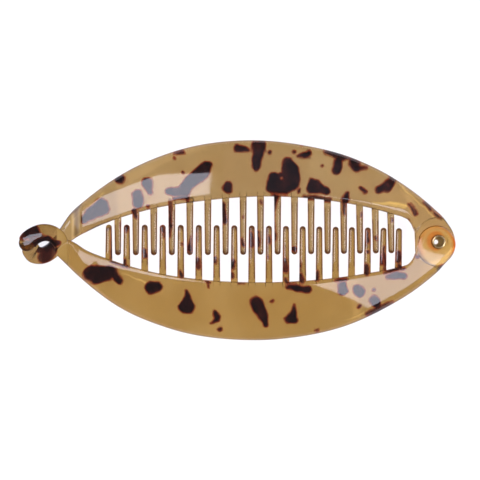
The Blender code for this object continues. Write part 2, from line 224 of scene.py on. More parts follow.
# Clasp hooks, from the plate to the free end: X, Y of the middle line and the half width there
UPPER_HOOK = (
    (-50.2, 2.4, 1.7), (-51.4, 0.9, 1.8), (-53.0, -0.8, 2.2), (-55.1, -3.1, 2.4), (-57.6, -4.45, 2.5),
    (-60.1, -4.3, 2.65), (-61.2, -3.05, 2.7),
)
LOWER_HOOK = (
    (-52.1, -1.4, 2.2), (-53.4, 0.75, 2.45), (-55.45, 2.05, 2.5), (-57.95, 2.2, 2.6), (-60.25, 1.3, 2.7),
    (-61.95, -0.1, 2.85), (-62.4, -0.85, 2.45),
)
FRONT_HOOK_WALL = 0.72
FRONT_HOOK_LEAN = 0.30
REAR_HOOK_WALL = 0.97
REAR_HOOK_LEAN = 0.0
HOOK_TOP = 6.7
HOOK_RINGS = 70
HOOK_DOME_POINTS = 24
HOOK_DOME_POWER = 0.9
HOOK_END_TURN_DEGREES = (8, 88)
HOOK_END_RINGS = 14

# Small bevel at the foot of a hook, as shares of the hook's half width and height
HOOK_FOOT_WIDTH = 0.93
HOOK_FOOT_HEIGHT = 0.12

# Circle in which each jaw lies over or under the other's lug: X, Y and radius
UPPER_LAP = (LOWER_LUG_X, LOWER_LUG_Y, 5.65)
LOWER_LAP = (UPPER_LUG_X, UPPER_LUG_Y, 6.15)

# Where each jaw is milky, at the crossing by the clasp: X at both ends of each of its two soft steps
UPPER_MILKY = (-54.3, -53.5, -47.2, -45.4)
LOWER_MILKY = (-53.9, -53.1, -50.8, -49.6)

# The blotch chart is written in pixels of the 480 pixel square picture of the clip
PICTURE_PIXELS = 480
MM_PER_PIXEL = 0.2974
CHART_CENTRE_X = 236.75
CHART_CENTRE_Y = 240.2

# Dark dye spots of the upper jaw, each a round cone: X, Y and radius at one end, then at the other
UPPER_SPOTS = (
    (118.8, 180.3, 3.0, 122.0, 179.6, 3.6),
    (102.0, 207.2, 8.0, 93.0, 213.5, 5.6),
    (93.0, 213.5, 5.6, 85.5, 218.5, 3.2),
    (85.5, 218.5, 3.2, 83.5, 221.5, 1.6),
    (137.8, 194.5, 4.8, 138.4, 204.0, 4.8),
    (147.5, 183.0, 5.4, 150.3, 192.5, 2.4),
    (207.6, 166.0, 4.6, 204.5, 170.5, 6.8),
    (203.5, 172.0, 6.8, 191.0, 182.0, 6.6),
    (190.0, 183.0, 6.2, 184.0, 190.0, 6.2),
    (183.0, 191.5, 5.2, 169.0, 191.5, 3.6),
    (174.5, 199.0, 1.4, 187.0, 197.0, 2.0),
    (175.0, 153.8, 1.0, 183.5, 153.2, 1.9),
    (174.6, 158.9, 0.9, 175.0, 158.9, 0.9),
    (183.4, 172.3, 1.1, 183.8, 172.0, 1.1),
    (148.4, 205.6, 1.2, 148.8, 205.6, 1.2),
    (237.8, 148.8, 4.0, 241.0, 149.2, 3.2),
    (241.0, 149.2, 3.2, 249.0, 150.0, 1.0),
    (255.0, 146.5, 3.4, 262.5, 146.0, 3.6),
    (259.0, 149.0, 6.2, 257.5, 156.0, 4.4),
    (257.0, 157.0, 4.0, 256.2, 167.5, 3.8),
    (269.8, 152.8, 1.6, 270.3, 152.8, 1.6),
    (227.8, 186.4, 4.2, 227.8, 188.8, 4.2),
    (287.5, 163.0, 5.0, 289.2, 170.0, 8.0),
    (290.2, 172.0, 8.6, 291.2, 180.0, 8.4),
    (290.5, 183.0, 8.0, 285.0, 187.0, 6.0),
    (274.0, 179.5, 6.2, 272.2, 187.0, 5.8),
    (279.5, 186.0, 6.0, 284.0, 186.0, 6.0),
    (278.0, 177.0, 2.4, 285.0, 173.0, 2.0),
    (272.5, 188.0, 5.0, 284.0, 189.5, 4.4),
    (298.4, 190.4, 1.0, 298.4, 192.0, 1.2),
    (311.5, 180.5, 2.6, 311.5, 188.5, 5.0),
    (314.5, 183.5, 4.0, 319.0, 188.5, 5.2),
    (313.0, 188.8, 5.0, 325.5, 190.8, 3.6),
    (293.3, 152.3, 1.4, 294.8, 152.3, 1.4),
    (322.2, 166.0, 1.0, 322.6, 166.0, 1.0),
    (300.7, 145.4, 0.8, 301.2, 145.4, 0.8),
    (326.0, 152.4, 1.9, 334.0, 155.0, 3.2),
    (334.0, 155.6, 3.0, 342.5, 158.4, 3.0),
    (343.0, 157.0, 1.4, 358.0, 163.0, 1.6),
    (351.5, 163.5, 3.2, 355.5, 167.5, 3.6),
    (357.0, 169.0, 2.4, 366.0, 169.2, 0.9),
    (337.5, 162.5, 4.0, 335.8, 170.5, 4.0),
    (337.5, 158.0, 2.0, 337.5, 163.0, 2.6),
    (361.2, 189.0, 1.5, 364.8, 192.4, 1.7),
    (388.4, 184.6, 4.4, 386.0, 187.4, 4.8),
    (383.0, 188.0, 3.6, 377.8, 190.4, 3.8),
    (346.8, 193.0, 1.4, 345.0, 199.0, 3.2),
    (298.5, 157.0, 1.2, 303.0, 155.5, 2.0),
    (304.0, 155.5, 2.6, 308.5, 153.5, 2.4),
    (409.0, 204.5, 1.0, 415.2, 214.2, 1.7),
    (424.4, 202.4, 1.5, 430.0, 208.2, 1.8),
    (434.8, 212.8, 1.3, 438.8, 216.8, 1.5),
    (122.0, 223.0, 0.9, 121.5, 229.0, 0.7),
    (135.4, 211.5, 2.4, 136.5, 217.0, 1.6),
    (170.3, 203.0, 1.8, 170.2, 236.0, 1.2),
    (189.5, 249.0, 2.6, 191.5, 237.0, 0.8),
    (223.6, 205.0, 2.0, 224.2, 222.0, 2.8),
    (242.8, 216.5, 0.6, 243.0, 217.0, 0.6),
    (242.6, 240.0, 1.4, 243.5, 245.0, 1.4),
    (260.4, 201.5, 1.0, 260.6, 202.5, 1.0),
    (257.8, 232.0, 1.8, 257.8, 246.0, 1.4),
    (274.5, 197.5, 3.2, 273.6, 216.0, 1.0),
    (274.0, 222.0, 1.2, 273.6, 240.0, 1.8),
    (293.0, 249.0, 2.4, 294.5, 249.6, 2.4),
    (304.0, 197.0, 1.6, 329.0, 200.2, 2.0),
    (344.0, 202.0, 2.2, 344.5, 214.0, 1.0),
    (361.0, 213.5, 0.8, 361.0, 216.5, 0.8),
    (376.0, 238.0, 1.4, 376.4, 239.4, 1.4),
    (391.5, 218.5, 1.0, 391.8, 221.0, 1.0),
    (46.5, 254.5, 6.2, 43.5, 258.0, 5.2),
    (54.5, 247.5, 3.6, 48.5, 253.5, 5.8),
    (50.0, 242.0, 3.0, 40.5, 250.5, 3.0),
)

# Dark dye spots of the lower jaw, in the same columns
LOWER_SPOTS = (
    (91.2, 273.2, 7.2, 98.0, 274.6, 9.0),
    (98.0, 274.6, 9.0, 108.0, 273.2, 6.8),
    (113.0, 270.6, 3.6, 120.4, 281.0, 2.8),
    (152.6, 287.6, 6.2, 157.0, 286.6, 5.2),
    (186.4, 290.2, 1.4, 187.6, 298.0, 3.8),
    (187.4, 298.5, 4.0, 187.2, 305.0, 7.8),
    (215.4, 312.2, 2.0, 217.0, 317.2, 3.2),
    (216.6, 318.6, 3.0, 211.0, 322.0, 0.6),
    (219.0, 329.4, 1.4, 220.6, 328.2, 1.4),
    (256.3, 302.4, 6.6, 261.4, 312.0, 5.2),
    (261.4, 312.0, 5.2, 265.4, 323.0, 2.6),
    (271.6, 301.0, 1.0, 273.0, 300.6, 1.0),
    (294.0, 304.4, 0.6, 294.0, 311.0, 2.8),
    (293.6, 312.0, 3.2, 292.0, 317.0, 5.4),
    (287.6, 319.4, 3.2, 294.0, 319.2, 3.8),
    (288.0, 286.0, 2.2, 297.0, 288.2, 2.6),
    (297.0, 288.2, 2.6, 308.4, 289.2, 3.0),
    (314.8, 330.6, 0.6, 317.0, 329.4, 0.6),
    (205.5, 281.4, 0.8, 209.6, 281.8, 1.0),
    (208.0, 283.0, 0.7, 208.8, 288.0, 0.4),
    (239.6, 283.0, 0.6, 243.6, 283.2, 0.6),
    (341.6, 285.6, 4.4, 342.6, 290.0, 4.6),
    (357.6, 290.0, 4.8, 359.4, 291.6, 4.8),
    (373.6, 299.6, 4.6, 374.6, 301.4, 4.6),
    (387.0, 276.4, 2.0, 394.0, 275.6, 3.6),
    (394.0, 275.6, 3.6, 402.6, 275.6, 3.2),
    (372.2, 290.5, 1.0, 373.4, 290.2, 1.0),
    (366.5, 313.6, 1.3, 376.0, 309.8, 3.2),
    (376.0, 309.8, 3.2, 392.0, 302.6, 1.4),
    (357.8, 307.4, 1.0, 359.8, 305.6, 1.0),
    (335.5, 280.6, 0.9, 345.5, 279.6, 0.9),
    (384.0, 272.6, 0.9, 403.0, 268.2, 0.9),
    (440.5, 267.6, 0.9, 443.6, 265.2, 1.0),
    (22.5, 236.5, 2.4, 32.0, 228.0, 4.4),
    (27.5, 233.5, 5.0, 33.5, 231.0, 5.4),
    (40.8, 244.6, 6.4, 47.2, 243.6, 6.8),
    (50.0, 243.5, 3.4, 58.0, 243.5, 2.4),
    (111.6, 228.0, 0.7, 111.6, 258.0, 0.7),
    (126.6, 227.6, 1.8, 127.0, 230.6, 1.4),
    (124.4, 259.5, 1.4, 123.6, 265.0, 2.2),
    (112.0, 262.2, 0.9, 127.5, 266.8, 1.1),
    (144.6, 250.6, 2.2, 145.0, 256.0, 2.4),
    (162.4, 227.6, 1.8, 163.4, 231.0, 1.4),
    (165.0, 230.0, 0.9, 165.2, 238.0, 0.9),
    (182.2, 243.0, 0.8, 182.4, 245.0, 0.8),
    (180.6, 271.0, 1.2, 181.4, 276.0, 2.0),
    (195.4, 234.0, 0.8, 195.4, 246.0, 0.8),
    (198.0, 261.0, 2.8, 198.4, 266.0, 2.6),
    (214.6, 257.6, 1.6, 214.6, 262.0, 1.6),
    (212.8, 270.0, 0.9, 213.0, 274.0, 0.9),
    (232.8, 261.6, 2.4, 232.4, 267.0, 2.4),
    (232.0, 274.4, 1.8, 232.4, 276.6, 1.8),
    (247.6, 259.6, 1.3, 247.8, 267.0, 1.3),
    (251.0, 233.0, 1.6, 251.4, 245.0, 2.2),
    (269.0, 236.0, 1.2, 269.4, 243.0, 1.3),
    (267.4, 256.0, 1.0, 267.8, 257.4, 1.0),
    (281.6, 245.0, 0.9, 282.0, 261.0, 0.9),
    (284.6, 260.0, 2.0, 285.0, 271.0, 2.4),
    (286.0, 279.4, 1.4, 287.0, 281.4, 1.4),
    (298.8, 260.6, 1.4, 300.0, 266.0, 1.6),
    (300.6, 275.0, 2.4, 301.4, 280.6, 2.8),
    (316.6, 271.6, 1.4, 316.2, 279.4, 2.0),
    (366.2, 231.0, 0.9, 368.0, 242.0, 1.5),
    (367.4, 251.4, 1.4, 367.8, 252.0, 1.4),
    (365.8, 267.0, 2.6, 366.4, 272.0, 2.6),
    (380.2, 255.0, 0.9, 380.6, 264.0, 1.2),
    (384.2, 247.0, 0.9, 384.4, 269.6, 1.2),
    (397.8, 252.6, 2.0, 398.2, 260.0, 2.4),
    (399.2, 265.0, 1.6, 400.0, 267.0, 1.6),
    (417.0, 256.4, 1.3, 418.4, 256.8, 1.1),
)

# Painted glints: golden lines of refracted light painted along creases and edges, in the same columns
UPPER_PAINTED_GLINTS = (
    (399.0, 184.5, 0.5, 419.0, 202.5, 0.6),
    (419.0, 202.5, 0.6, 433.0, 216.5, 0.7),
    (373.0, 203.0, 0.8, 396.0, 205.0, 2.2),
    (396.0, 205.0, 2.2, 405.0, 207.0, 2.0),
    (84.0, 209.5, 0.5, 104.0, 193.5, 0.8),
)

LOWER_PAINTED_GLINTS = (
    (123.0, 273.5, 0.4, 147.0, 283.0, 0.9),
    (346.0, 320.0, 0.3, 371.0, 310.0, 0.8),
)

# Thin, half see-through clouds, in the same columns
UPPER_HAZE = (
    (301.0, 158.0, 2.6, 307.5, 153.0, 3.6),
    (305.5, 156.0, 3.8, 309.0, 158.0, 1.8),
    (353.8, 166.6, 3.8, 355.5, 168.6, 3.6),
    (356.0, 168.5, 2.8, 367.0, 168.6, 0.8),
    (254.0, 150.0, 3.6, 266.0, 152.0, 1.6),
    (226.0, 187.0, 4.4, 229.0, 188.0, 4.4),
    (352.0, 163.0, 3.6, 362.0, 169.0, 1.2),
    (170.2, 200.0, 2.4, 171.0, 214.0, 1.8),
    (260.4, 232.0, 2.6, 259.4, 246.0, 2.2),
    (189.8, 252.0, 3.0, 191.0, 236.0, 2.0),
    (434.0, 210.0, 2.0, 442.0, 219.0, 2.6),
    (326.0, 152.0, 3.4, 342.0, 157.0, 4.4),
    (352.0, 163.0, 4.6, 357.0, 168.0, 4.4),
)

LOWER_HAZE = (
    (114.0, 271.0, 4.0, 120.0, 281.0, 3.2),
    (198.0, 229.0, 2.0, 198.0, 240.0, 2.2),
    (232.0, 246.0, 1.6, 233.0, 256.0, 1.6),
    (251.0, 228.0, 2.2, 251.4, 258.0, 2.0),
    (267.0, 228.0, 2.2, 267.6, 258.0, 1.6),
    (284.0, 244.0, 1.8, 285.0, 262.0, 1.6),
    (300.6, 268.0, 2.2, 301.0, 274.0, 2.2),
    (366.6, 230.0, 2.6, 366.6, 246.0, 2.4),
    (382.0, 252.0, 2.0, 382.6, 262.0, 2.0),
    (399.0, 254.0, 2.4, 399.6, 262.0, 2.4),
    (126.8, 226.6, 2.2, 126.6, 232.0, 1.6),
    (162.4, 227.0, 2.2, 163.6, 236.0, 1.6),
)

# Waves that bend the outlines of the clouds: how fast each runs along X and Y, and its size
OUTLINE_WAVES = ((0.9, 0.4, 1.0), (-0.5, 1.1, 0.8), (1.7, -1.3, 0.5), (0.6, 2.3, 0.4))
OUTLINE_WAVE_LAG = 2.1
OUTLINE_BEND = 0.35
FAR_OUTSIDE = -9.0

# A face whose normal's Z is below the first looks down, and has its clouds set back by the second
LOOKS_DOWN = -0.2
UNDERSIDE_SET_BACK = 0.22

# A face counted as a wall gets a darker colour: partly the deeper colour through the plastic, partly painted
# shade of refraction
# How level a face is where it stops counting as a wall, as two ends of a soft step of its normal's Z
PLATE_WALL = (0.35, 0.75)
HOOK_WALL = (0.70, 0.94)
TOOTH_WALL = (0.86, 0.998)
TIP_WALL = (0.95, 0.9999)

# The hooks lie below this X, the teeth this far inside the slot, and their tips beyond these Y
HOOKS_TO_X = -53.5
SLOT_MARGIN = 0.8
NEAR_TIP = (2.2, 3.4)

# Noises of the materials: features for each metre, octaves
OUTLINE_GRAIN = (1100.0, 3.0)
HEART_GRAIN = (260.0, 2.0)
AMBER_DRIFT = (60.0, 2.0)
POLISH_DRIFT = (320.0, 2.0)
SWELL = (80.0, 1.0)
BRASS_SCUFFS = (2500.0, 4.0)
BRASS_PATCHES = (700.0, 2.0)
PAPER_CLOUD = (9.0, 2.0)

# Ends of the soft steps that make patches of these noises
DRIFT_STEP = (0.35, 0.65)
HEART_STEP = (0.45, 0.7)
BRASS_STEP = (0.35, 0.7)

# Outlines of the clouds, and the depths inside them, in millimetres, over which their colours set in
OUTLINE_RAGGEDNESS = 0.45
HAZE_RAGGEDNESS = 1.6
CLOUD_GROWTH = 0.14
RIM_SETS_IN = (-0.36, -0.06)
HEART_SETS_IN = (-0.06, 0.34)
HAZE_SETS_IN = (-0.25, 0.45)
# Depths over which the painted glints of refracted light set in
PAINTED_GLINT_SETS_IN = (-0.3, 0.3)
HAZE_SHARE = 0.75

# Painted light on both jaws: orange along the edge of the lower lug, a ring, and its soft steps from the
# centre
LUG_PAINTED_LIGHT = (1.5, 0.3)
LUG_PAINTED_LIGHT_OUTSIDE = 0.1
LUG_PAINTED_LIGHT_STEP_X = (-3.0, 3.0)
LUG_PAINTED_LIGHT_STEP_Y = (-4.0, -2.0)
LUG_PAINTED_LIGHT_LEAST = 0.35
LUG_PAINTED_LIGHT_GAIN = 0.5

# Painted shadow of the eyelet's flange, in the same orange: X, Y, and the radii between which it sets in
EYELET_PAINTED_SHADOW = (PIVOT_X - 1.1, PIVOT_Y + 0.3, 3.3, 2.5)
EYELET_PAINTED_SHADOW_SHARE = 0.45

# Soft edges of the lap at the hinge and of the upper jaw's fall, and how milky the crossing is
LAP_BLUR = 0.08
FALL_BLUR = 1.3
MILKY_SHARE = 0.9
PLASTIC_IOR = 1.49

# Depths under the eyelet's top over which its bore turns darker and less metallic
BORE_DARKENING = (0.35, 1.3)

# Light cards over the clip, as corners in metres: X, Y
CLASP_SIDE_CARD = ((-0.096, 0.060), (-0.118, 0.240), (-0.320, 0.315), (-0.600, 0.286), (-0.473, 0.062))
HINGE_SIDE_CARD = ((0.150, -0.050), (0.480, -0.475), (0.740, -0.420), (0.425, 0.002))
SHEEN_CARD = ((-0.060, 0.070), (0.650, 0.070), (0.650, 0.600), (-0.100, 0.600))
CARD_HEIGHT = 0.6
CARD_TINT = (0.84, 0.86, 1.0)

# Floor, fill light and camera, in metres but for the sensor, which is in millimetres
FLOOR_HALF = 1.5
FLOOR_HEIGHT = -0.0001
FILL_SIZE = 0.6
FILL_HEIGHT = 0.8
PICTURE_HEIGHT = 0.005
SENSOR_WIDTH = 36.0

# What every colour setting shares
COLOUR = {"subtype": "COLOR", "size": 3, "min": 0, "max": 1}


def curve_through(table, x):
    """Hermite curve through the rows of a table.

    Each stretch is a cubic. Its slope at a row is the mean of the two chords there, each weighted by the
    length of the other.
    """
    px = np.array([row[0] for row in table])
    py = np.array([row[1] for row in table])
    steps = np.diff(py) / np.diff(px)
    slope = np.empty_like(py)
    slope[0] = steps[0]
    slope[-1] = steps[-1]
    weight_left = np.diff(px)[1:]
    weight_right = np.diff(px)[:-1]
    slope[1:-1] = (steps[:-1] * weight_left + steps[1:] * weight_right) / (weight_left + weight_right)
    x = np.clip(x, px[0], px[-1])
    k = np.clip(np.searchsorted(px, x) - 1, 0, len(px) - 2)
    span = px[k + 1] - px[k]
    t = (x - px[k]) / span
    from_left = (1 + 2 * t) * (1 - t) ** 2 * py[k] + t * (1 - t) ** 2 * span * slope[k]
    from_right = t * t * (3 - 2 * t) * py[k + 1] + t * t * (t - 1) * span * slope[k + 1]
    return from_left + from_right


def path_through(table, count):
    """Smooth path through the rows of a table, read at evenly spaced row numbers, all columns alike."""
    rows = np.array(table)
    index = np.arange(len(rows), dtype=float)
    at = np.linspace(0, len(rows) - 1, count)
    columns = [curve_through(list(zip(index, rows[:, c])), at) for c in range(rows.shape[1])]
    return np.stack(columns, axis=1)


def arch(x):
    """Height of the front face along the slot: a parabola that flattens out at the low clasp end."""
    span = np.where(x < ARCH_CENTRE_X, ARCH_SPAN_TO_CLASP, ARCH_SPAN_TO_HINGE)
    hump = ARCH_TOP - ARCH_FALL * ((x - ARCH_CENTRE_X) / span) ** 2
    flattened = 0.5 * (hump + END_HEIGHT + np.sqrt((hump - END_HEIGHT) ** 2 + END_SOFTNESS**2))
    return np.where(x < 0, flattened, hump)


def slot_half_width(x):
    """Half the width of the slot between the plates: a parabola along X, negative beyond its ends."""
    return SLOT_HALF_WIDTH * (1 - ((x - SLOT_CENTRE_X) / SLOT_HALF_LENGTH) ** 2)


def crowned(x, y):
    """Height of the front face at any point in plan: the arch less a square fall beyond the slot."""
    slot = slot_half_width(x)
    slot = 0.5 * (slot + np.sqrt(slot**2 + SLOT_SOFTNESS**2))
    beyond = np.clip(np.abs(y) - slot, 0, None)
    return arch(x) - PLATE_CROWN * (beyond / PLATE_WIDEST) ** 2


def ramp(x, start, end):
    """Smooth step from 0 at start to 1 at end: 3 t squared less 2 t cubed."""
    t = np.clip((x - start) / (end - start), 0, 1)
    return t * t * (3 - 2 * t)


def lug_half_chord(x, lug_x, radius):
    """Half the width of a round lug at x: the root of radius squared less distance squared."""
    return np.sqrt(np.clip(radius**2 - (x - lug_x) ** 2, 0, None))


def upper_edges(x):
    """Inner and outer Y of the upper jaw in plan, with its round lug."""
    half = lug_half_chord(x, UPPER_LUG_X, UPPER_LUG_RADIUS)
    inner = np.where(x > UPPER_INNER_EDGE[-1][0], UPPER_LUG_Y - half, curve_through(UPPER_INNER_EDGE, x))
    nose = UPPER_LUG_Y + UPPER_NOSE_STRETCH * half
    outer = np.where(x > UPPER_NOSE_FROM_X, nose, curve_through(UPPER_OUTER_EDGE, x))
    return inner, outer


def lower_edges(x):
    """Inner and outer Y of the lower jaw in plan, with its round lug."""
    half = lug_half_chord(x, LOWER_LUG_X, LOWER_LUG_RADIUS)
    inner = np.where(x > LOWER_INNER_EDGE[-1][0], LOWER_LUG_Y + half, curve_through(LOWER_INNER_EDGE, x))
    outer = np.where(x > LOWER_NOSE_FROM_X, LOWER_LUG_Y - half, curve_through(LOWER_OUTER_EDGE, x))
    return inner, outer


def mesh_object(name, points, quads):
    """Mesh object from an array of points in millimetres and an array of quads, with outward faces."""
    mesh = bpy.data.meshes.new(name)
    mesh.from_pydata((points * MM).tolist(), [], quads.tolist())
    bm = bmesh.new()
    bm.from_mesh(mesh)
    bmesh.ops.remove_doubles(bm, verts=bm.verts, dist=MERGE_DISTANCE)
    bmesh.ops.dissolve_degenerate(bm, edges=bm.edges, dist=SHORT_EDGE)
    bmesh.ops.recalc_face_normals(bm, faces=bm.faces)
    bm.to_mesh(mesh)
    bm.free()
    mesh.shade_smooth()
    obj = bpy.data.objects.new(name, mesh)
    bpy.context.scene.collection.objects.link(obj)
    return obj


def ring_quads(rings, count):
    """Quads between neighbouring closed rings of a grid of points, as one index array."""
    r, k = np.meshgrid(np.arange(rings - 1), np.arange(count), indexing="ij")
    after = (k + 1) % count
    corners = [r * count + k, r * count + after, (r + 1) * count + after, (r + 1) * count + k]
    return np.stack(corners, axis=-1).reshape(-1, 4)


def cap_quads(start, count):
    """Quads that close an even ring by joining each point to its mirror point across the ring."""
    k = np.arange(count // 2 - 1)
    return np.stack([start + k, start + k + 1, start + count - 2 - k, start + count - 1 - k], axis=-1)


def tube(name, grid):
    """Closed skin over a grid of rings: rings x points x 3, each ring even, with a cap at both ends."""
    rings, count = grid.shape[:2]
    first = cap_quads(0, count)
    last = cap_quads((rings - 1) * count, count)
    quads = np.concatenate([ring_quads(rings, count), first[:, ::-1], last])
    return mesh_object(name, grid.reshape(-1, 3), quads)


def plate_grid(xs, inner, outer, form, sizes):
    """Rings of a plate: an edge bead, the crowned face, the bevel along the outer edge and the underside.

    A ring is a list of pairs (distance from the inner edge, depth under the face) for all stations at
    once. The bead is a quarter ellipse and the facet beside it falls evenly towards it. The bevel's
    depth is its drop times 0.35 t + 0.65 t to the fourth, with t the share of its width. The underside
    lies one thickness below the face and blends to a level bottom at the ends, as the upper jaw's face
    blends to the rear layer at the clasp.
    """
    bead_table, facet_table, facet_slope, fall, bottom_at_ends = form
    width = np.abs(outer - inner)[:, None]
    side = np.where(outer > inner, 1.0, -1.0)[:, None]
    small = np.clip(width / FULL_EDGE_WIDTH, 0, 1)
    level = ramp(-xs, *fall)[:, None]
    thick_end = np.maximum(ramp(xs, *THICK_TOWARDS_HINGE), ramp(-xs, *THICK_TOWARDS_CLASP))[:, None]
    quarter = np.linspace(0, math.pi / 2, BEAD_POINTS)[None, :]
    bead = np.minimum(curve_through(bead_table, xs)[:, None] * small, BEAD_SHARE * width)
    bevel = np.minimum(sizes.bevel_width * small, BEVEL_SHARE * width)
    edge = UNDERSIDE_EDGE * small

    inner_d = bead * (1 - np.sin(quarter))
    inner_depth = sizes.bead_depth * small * (1 - np.cos(quarter))
    face_share = np.linspace(0, 1, FACE_POINTS)[None, 1:-1]
    face_d = bead + (width - bead - bevel) * face_share
    t = np.linspace(0, 1, BEVEL_POINTS)[None, :]
    outer_d = width - bevel + bevel * t
    outer_depth = sizes.bevel_drop * small * (0.35 * t + 0.65 * t**4)
    under_share = np.linspace(1, 0, UNDERSIDE_POINTS)[None, :]
    under_d = edge + (width - 2 * edge) * under_share

    d = np.concatenate([inner_d[:, ::-1], face_d, outer_d], axis=1)
    depth = np.concatenate([inner_depth[:, ::-1], 0 * face_d, outer_depth], axis=1)
    y_front = inner[:, None] + side * d
    arched = crowned(xs[:, None], y_front)
    facet = curve_through(facet_table, xs)[:, None]
    depth = depth + facet_slope * np.clip(facet - d, 0, None)
    z_front = arched + (REAR_LAYER_TOP - arched) * level - depth

    low_d = np.concatenate([width, under_d, 0 * width], axis=1)
    y_back = inner[:, None] + side * low_d
    thin = crowned(xs[:, None], y_back) - sizes.plate_thickness
    z_back = thin + (bottom_at_ends - thin) * thick_end
    z_back[:, :1] += edge
    z_back[:, -1:] += edge
    y = np.concatenate([y_front, y_back], axis=1)
    z = np.concatenate([z_front, z_back], axis=1)
    x = np.broadcast_to(xs[:, None], y.shape)
    return np.stack([x, y, z], axis=-1)


def plate(name, edges, fillet_end, nose, form, sizes):
    """Arched plate with its lug; stations are even along the plate and crowd round the lug's nose."""
    body = np.linspace(*PLATE_STRETCH, PLATE_RINGS)
    fillet = np.linspace(FILLET_FROM_X, fillet_end, FILLET_RINGS)
    middle = 0.5 * (fillet_end + nose)
    reach = 0.5 * (nose - fillet_end)
    lug = middle - reach * np.cos(np.linspace(*LUG_TURN, LUG_RINGS))
    xs = np.concatenate([body, fillet, lug])
    inner, outer = edges(xs)
    return tube(name, plate_grid(xs, inner, outer, form, sizes))


def tooth_grid(x, root_y, tip_y, sizes):
    """One tooth as stacked outlines: straight tapering sides, half-round tip and a domed front.

    The outline runs down one side, round the tip and back, so that mirror points face each other. Each
    level draws it in: the flat back has a small bevel, and the front is a quarter ellipse on each side.
    """
    side = 1.0 if tip_y > root_y else -1.0
    length = abs(tip_y - root_y)
    root = sizes.tooth_root / 2
    tip = sizes.tooth_tip / 2
    straight = length - tip
    lean = TOOTH_LEAN * float(ramp(x, *TOOTH_LEAN_OVER_X))
    along_side = np.linspace(0, straight, TOOTH_SIDE_POINTS)
    side_half = root + (tip - root) * along_side / straight
    turn = np.linspace(0, math.pi / 2, TOOTH_TIP_POINTS)[1:]
    across = np.concatenate([side_half, tip * np.cos(turn)])
    along = np.concatenate([along_side, straight + tip * np.sin(turn)])
    across = np.concatenate([across, -across[::-1]])
    along = np.concatenate([along, along[::-1]])

    back = np.array(TOOTH_BACK)
    dome = np.linspace(0, TOOTH_DOME_TURN, TOOTH_DOME_LEVELS)
    dome_z = -sizes.tooth_dome * (1 - np.sin(dome))
    keep = 1 - np.concatenate([back[:, 0], 1 - np.cos(dome)])[:, None]
    height = np.concatenate([back[:, 1] - sizes.tooth_thickness, dome_z])[:, None]
    px = across[None, :] * keep
    py = np.where(along > straight, straight + (along - straight) * keep, along + 0 * keep)
    share = py / length
    z = float(arch(np.array(x))) - TOOTH_BELOW_FRONT_FACE + height - TOOTH_DIP * share**2
    shift = lean * (py - 0.5 * straight) / length
    return np.stack([x + px + shift, root_y + side * py, z], axis=-1)


def tooth_places(first_x, count):
    """X of each tooth: the pitch is even at first and then shrinks steadily towards the hinge."""
    xs = [first_x]
    for _ in range(count - 1):
        past = max(0.0, xs[-1] - TOOTH_PITCH_EVEN_TO_X)
        xs.append(xs[-1] + TOOTH_PITCH_AT_CLASP * (1 - TOOTH_PITCH_LOSS * past))
    return xs


def teeth(name, first_x, count, inner_edge, tip_at_clasp, tip_at_hinge, sizes):
    """All teeth of one jaw as loose closed bodies of one mesh."""
    points = []
    quads = []
    start = 0
    xs = tooth_places(first_x, count)
    for x in xs:
        edge = float(curve_through(inner_edge, np.array(x)))
        side = 1.0 if edge > 0 else -1.0
        share = (x - xs[0]) / (xs[-1] - xs[0])
        tip = tip_at_clasp + (tip_at_hinge - tip_at_clasp) * share**2
        grid = tooth_grid(x, edge + side * TOOTH_ROOT_IN_PLATE, tip, sizes)
        levels, ring = grid.shape[:2]
        body = np.concatenate([ring_quads(levels, ring), cap_quads(0, ring)[:, ::-1],
                               cap_quads((levels - 1) * ring, ring)])
        points.append(grid.reshape(-1, 3))
        quads.append(body + start)
        start += levels * ring
    return mesh_object(name, np.concatenate(points), np.concatenate(quads))


def hook_grid(table, bottom, top, wall, lean):
    """Rings of a clasp hook: upright sides under a dome, carried along the middle line.

    The dome begins at wall, a share of the height, and falls by lean, a share of the height too, towards
    the right of the path, away from the hole. The free end is round: its rings shrink as the cosine of a
    turn while their centres move on by the sine.
    """
    points = path_through(table, HOOK_RINGS)
    middle = points[:, :2]
    half = points[:, 2]
    heading = np.gradient(middle, axis=0)
    heading /= np.linalg.norm(heading, axis=1)[:, None]
    turn = np.radians(np.linspace(*HOOK_END_TURN_DEGREES, HOOK_END_RINGS))
    middle = np.concatenate([middle, middle[-1] + heading[-1] * (half[-1] * np.sin(turn))[:, None]])
    heading = np.concatenate([heading, np.repeat(heading[-1:], len(turn), axis=0)])
    sink = np.concatenate([np.zeros(len(half)), 1 - np.cos(turn)])
    half = np.concatenate([half, half[-1] * np.cos(turn)])
    across = np.stack([-heading[:, 1], heading[:, 0]], axis=1)

    around = np.linspace(0, math.pi, HOOK_DOME_POINTS)
    ring_d = np.concatenate([np.cos(around), [-1.0, -HOOK_FOOT_WIDTH, HOOK_FOOT_WIDTH, 1.0]])
    dome = wall + (1 - wall) * np.sin(around) ** HOOK_DOME_POWER
    dome = dome * (1 - 0.5 * lean * (1 - np.cos(around)))
    rise = np.concatenate([dome, [HOOK_FOOT_HEIGHT, 0.0, 0.0, HOOK_FOOT_HEIGHT]])
    fall = np.clip(rise[None, :] - wall, 0, None) * sink[:, None]
    xy = middle[:, None, :] + across[:, None, :] * (half[:, None] * ring_d[None, :])[:, :, None]
    z = bottom + (top - bottom) * (rise[None, :] - fall)
    return np.concatenate([xy, z[:, :, None]], axis=-1)


def prism(name, outline, bottom, top):
    """Upright prism on an even plan outline."""
    outline = np.array(outline)
    rings = [np.column_stack([outline, np.full(len(outline), z)]) for z in (bottom, top)]
    return tube(name, np.stack(rings))


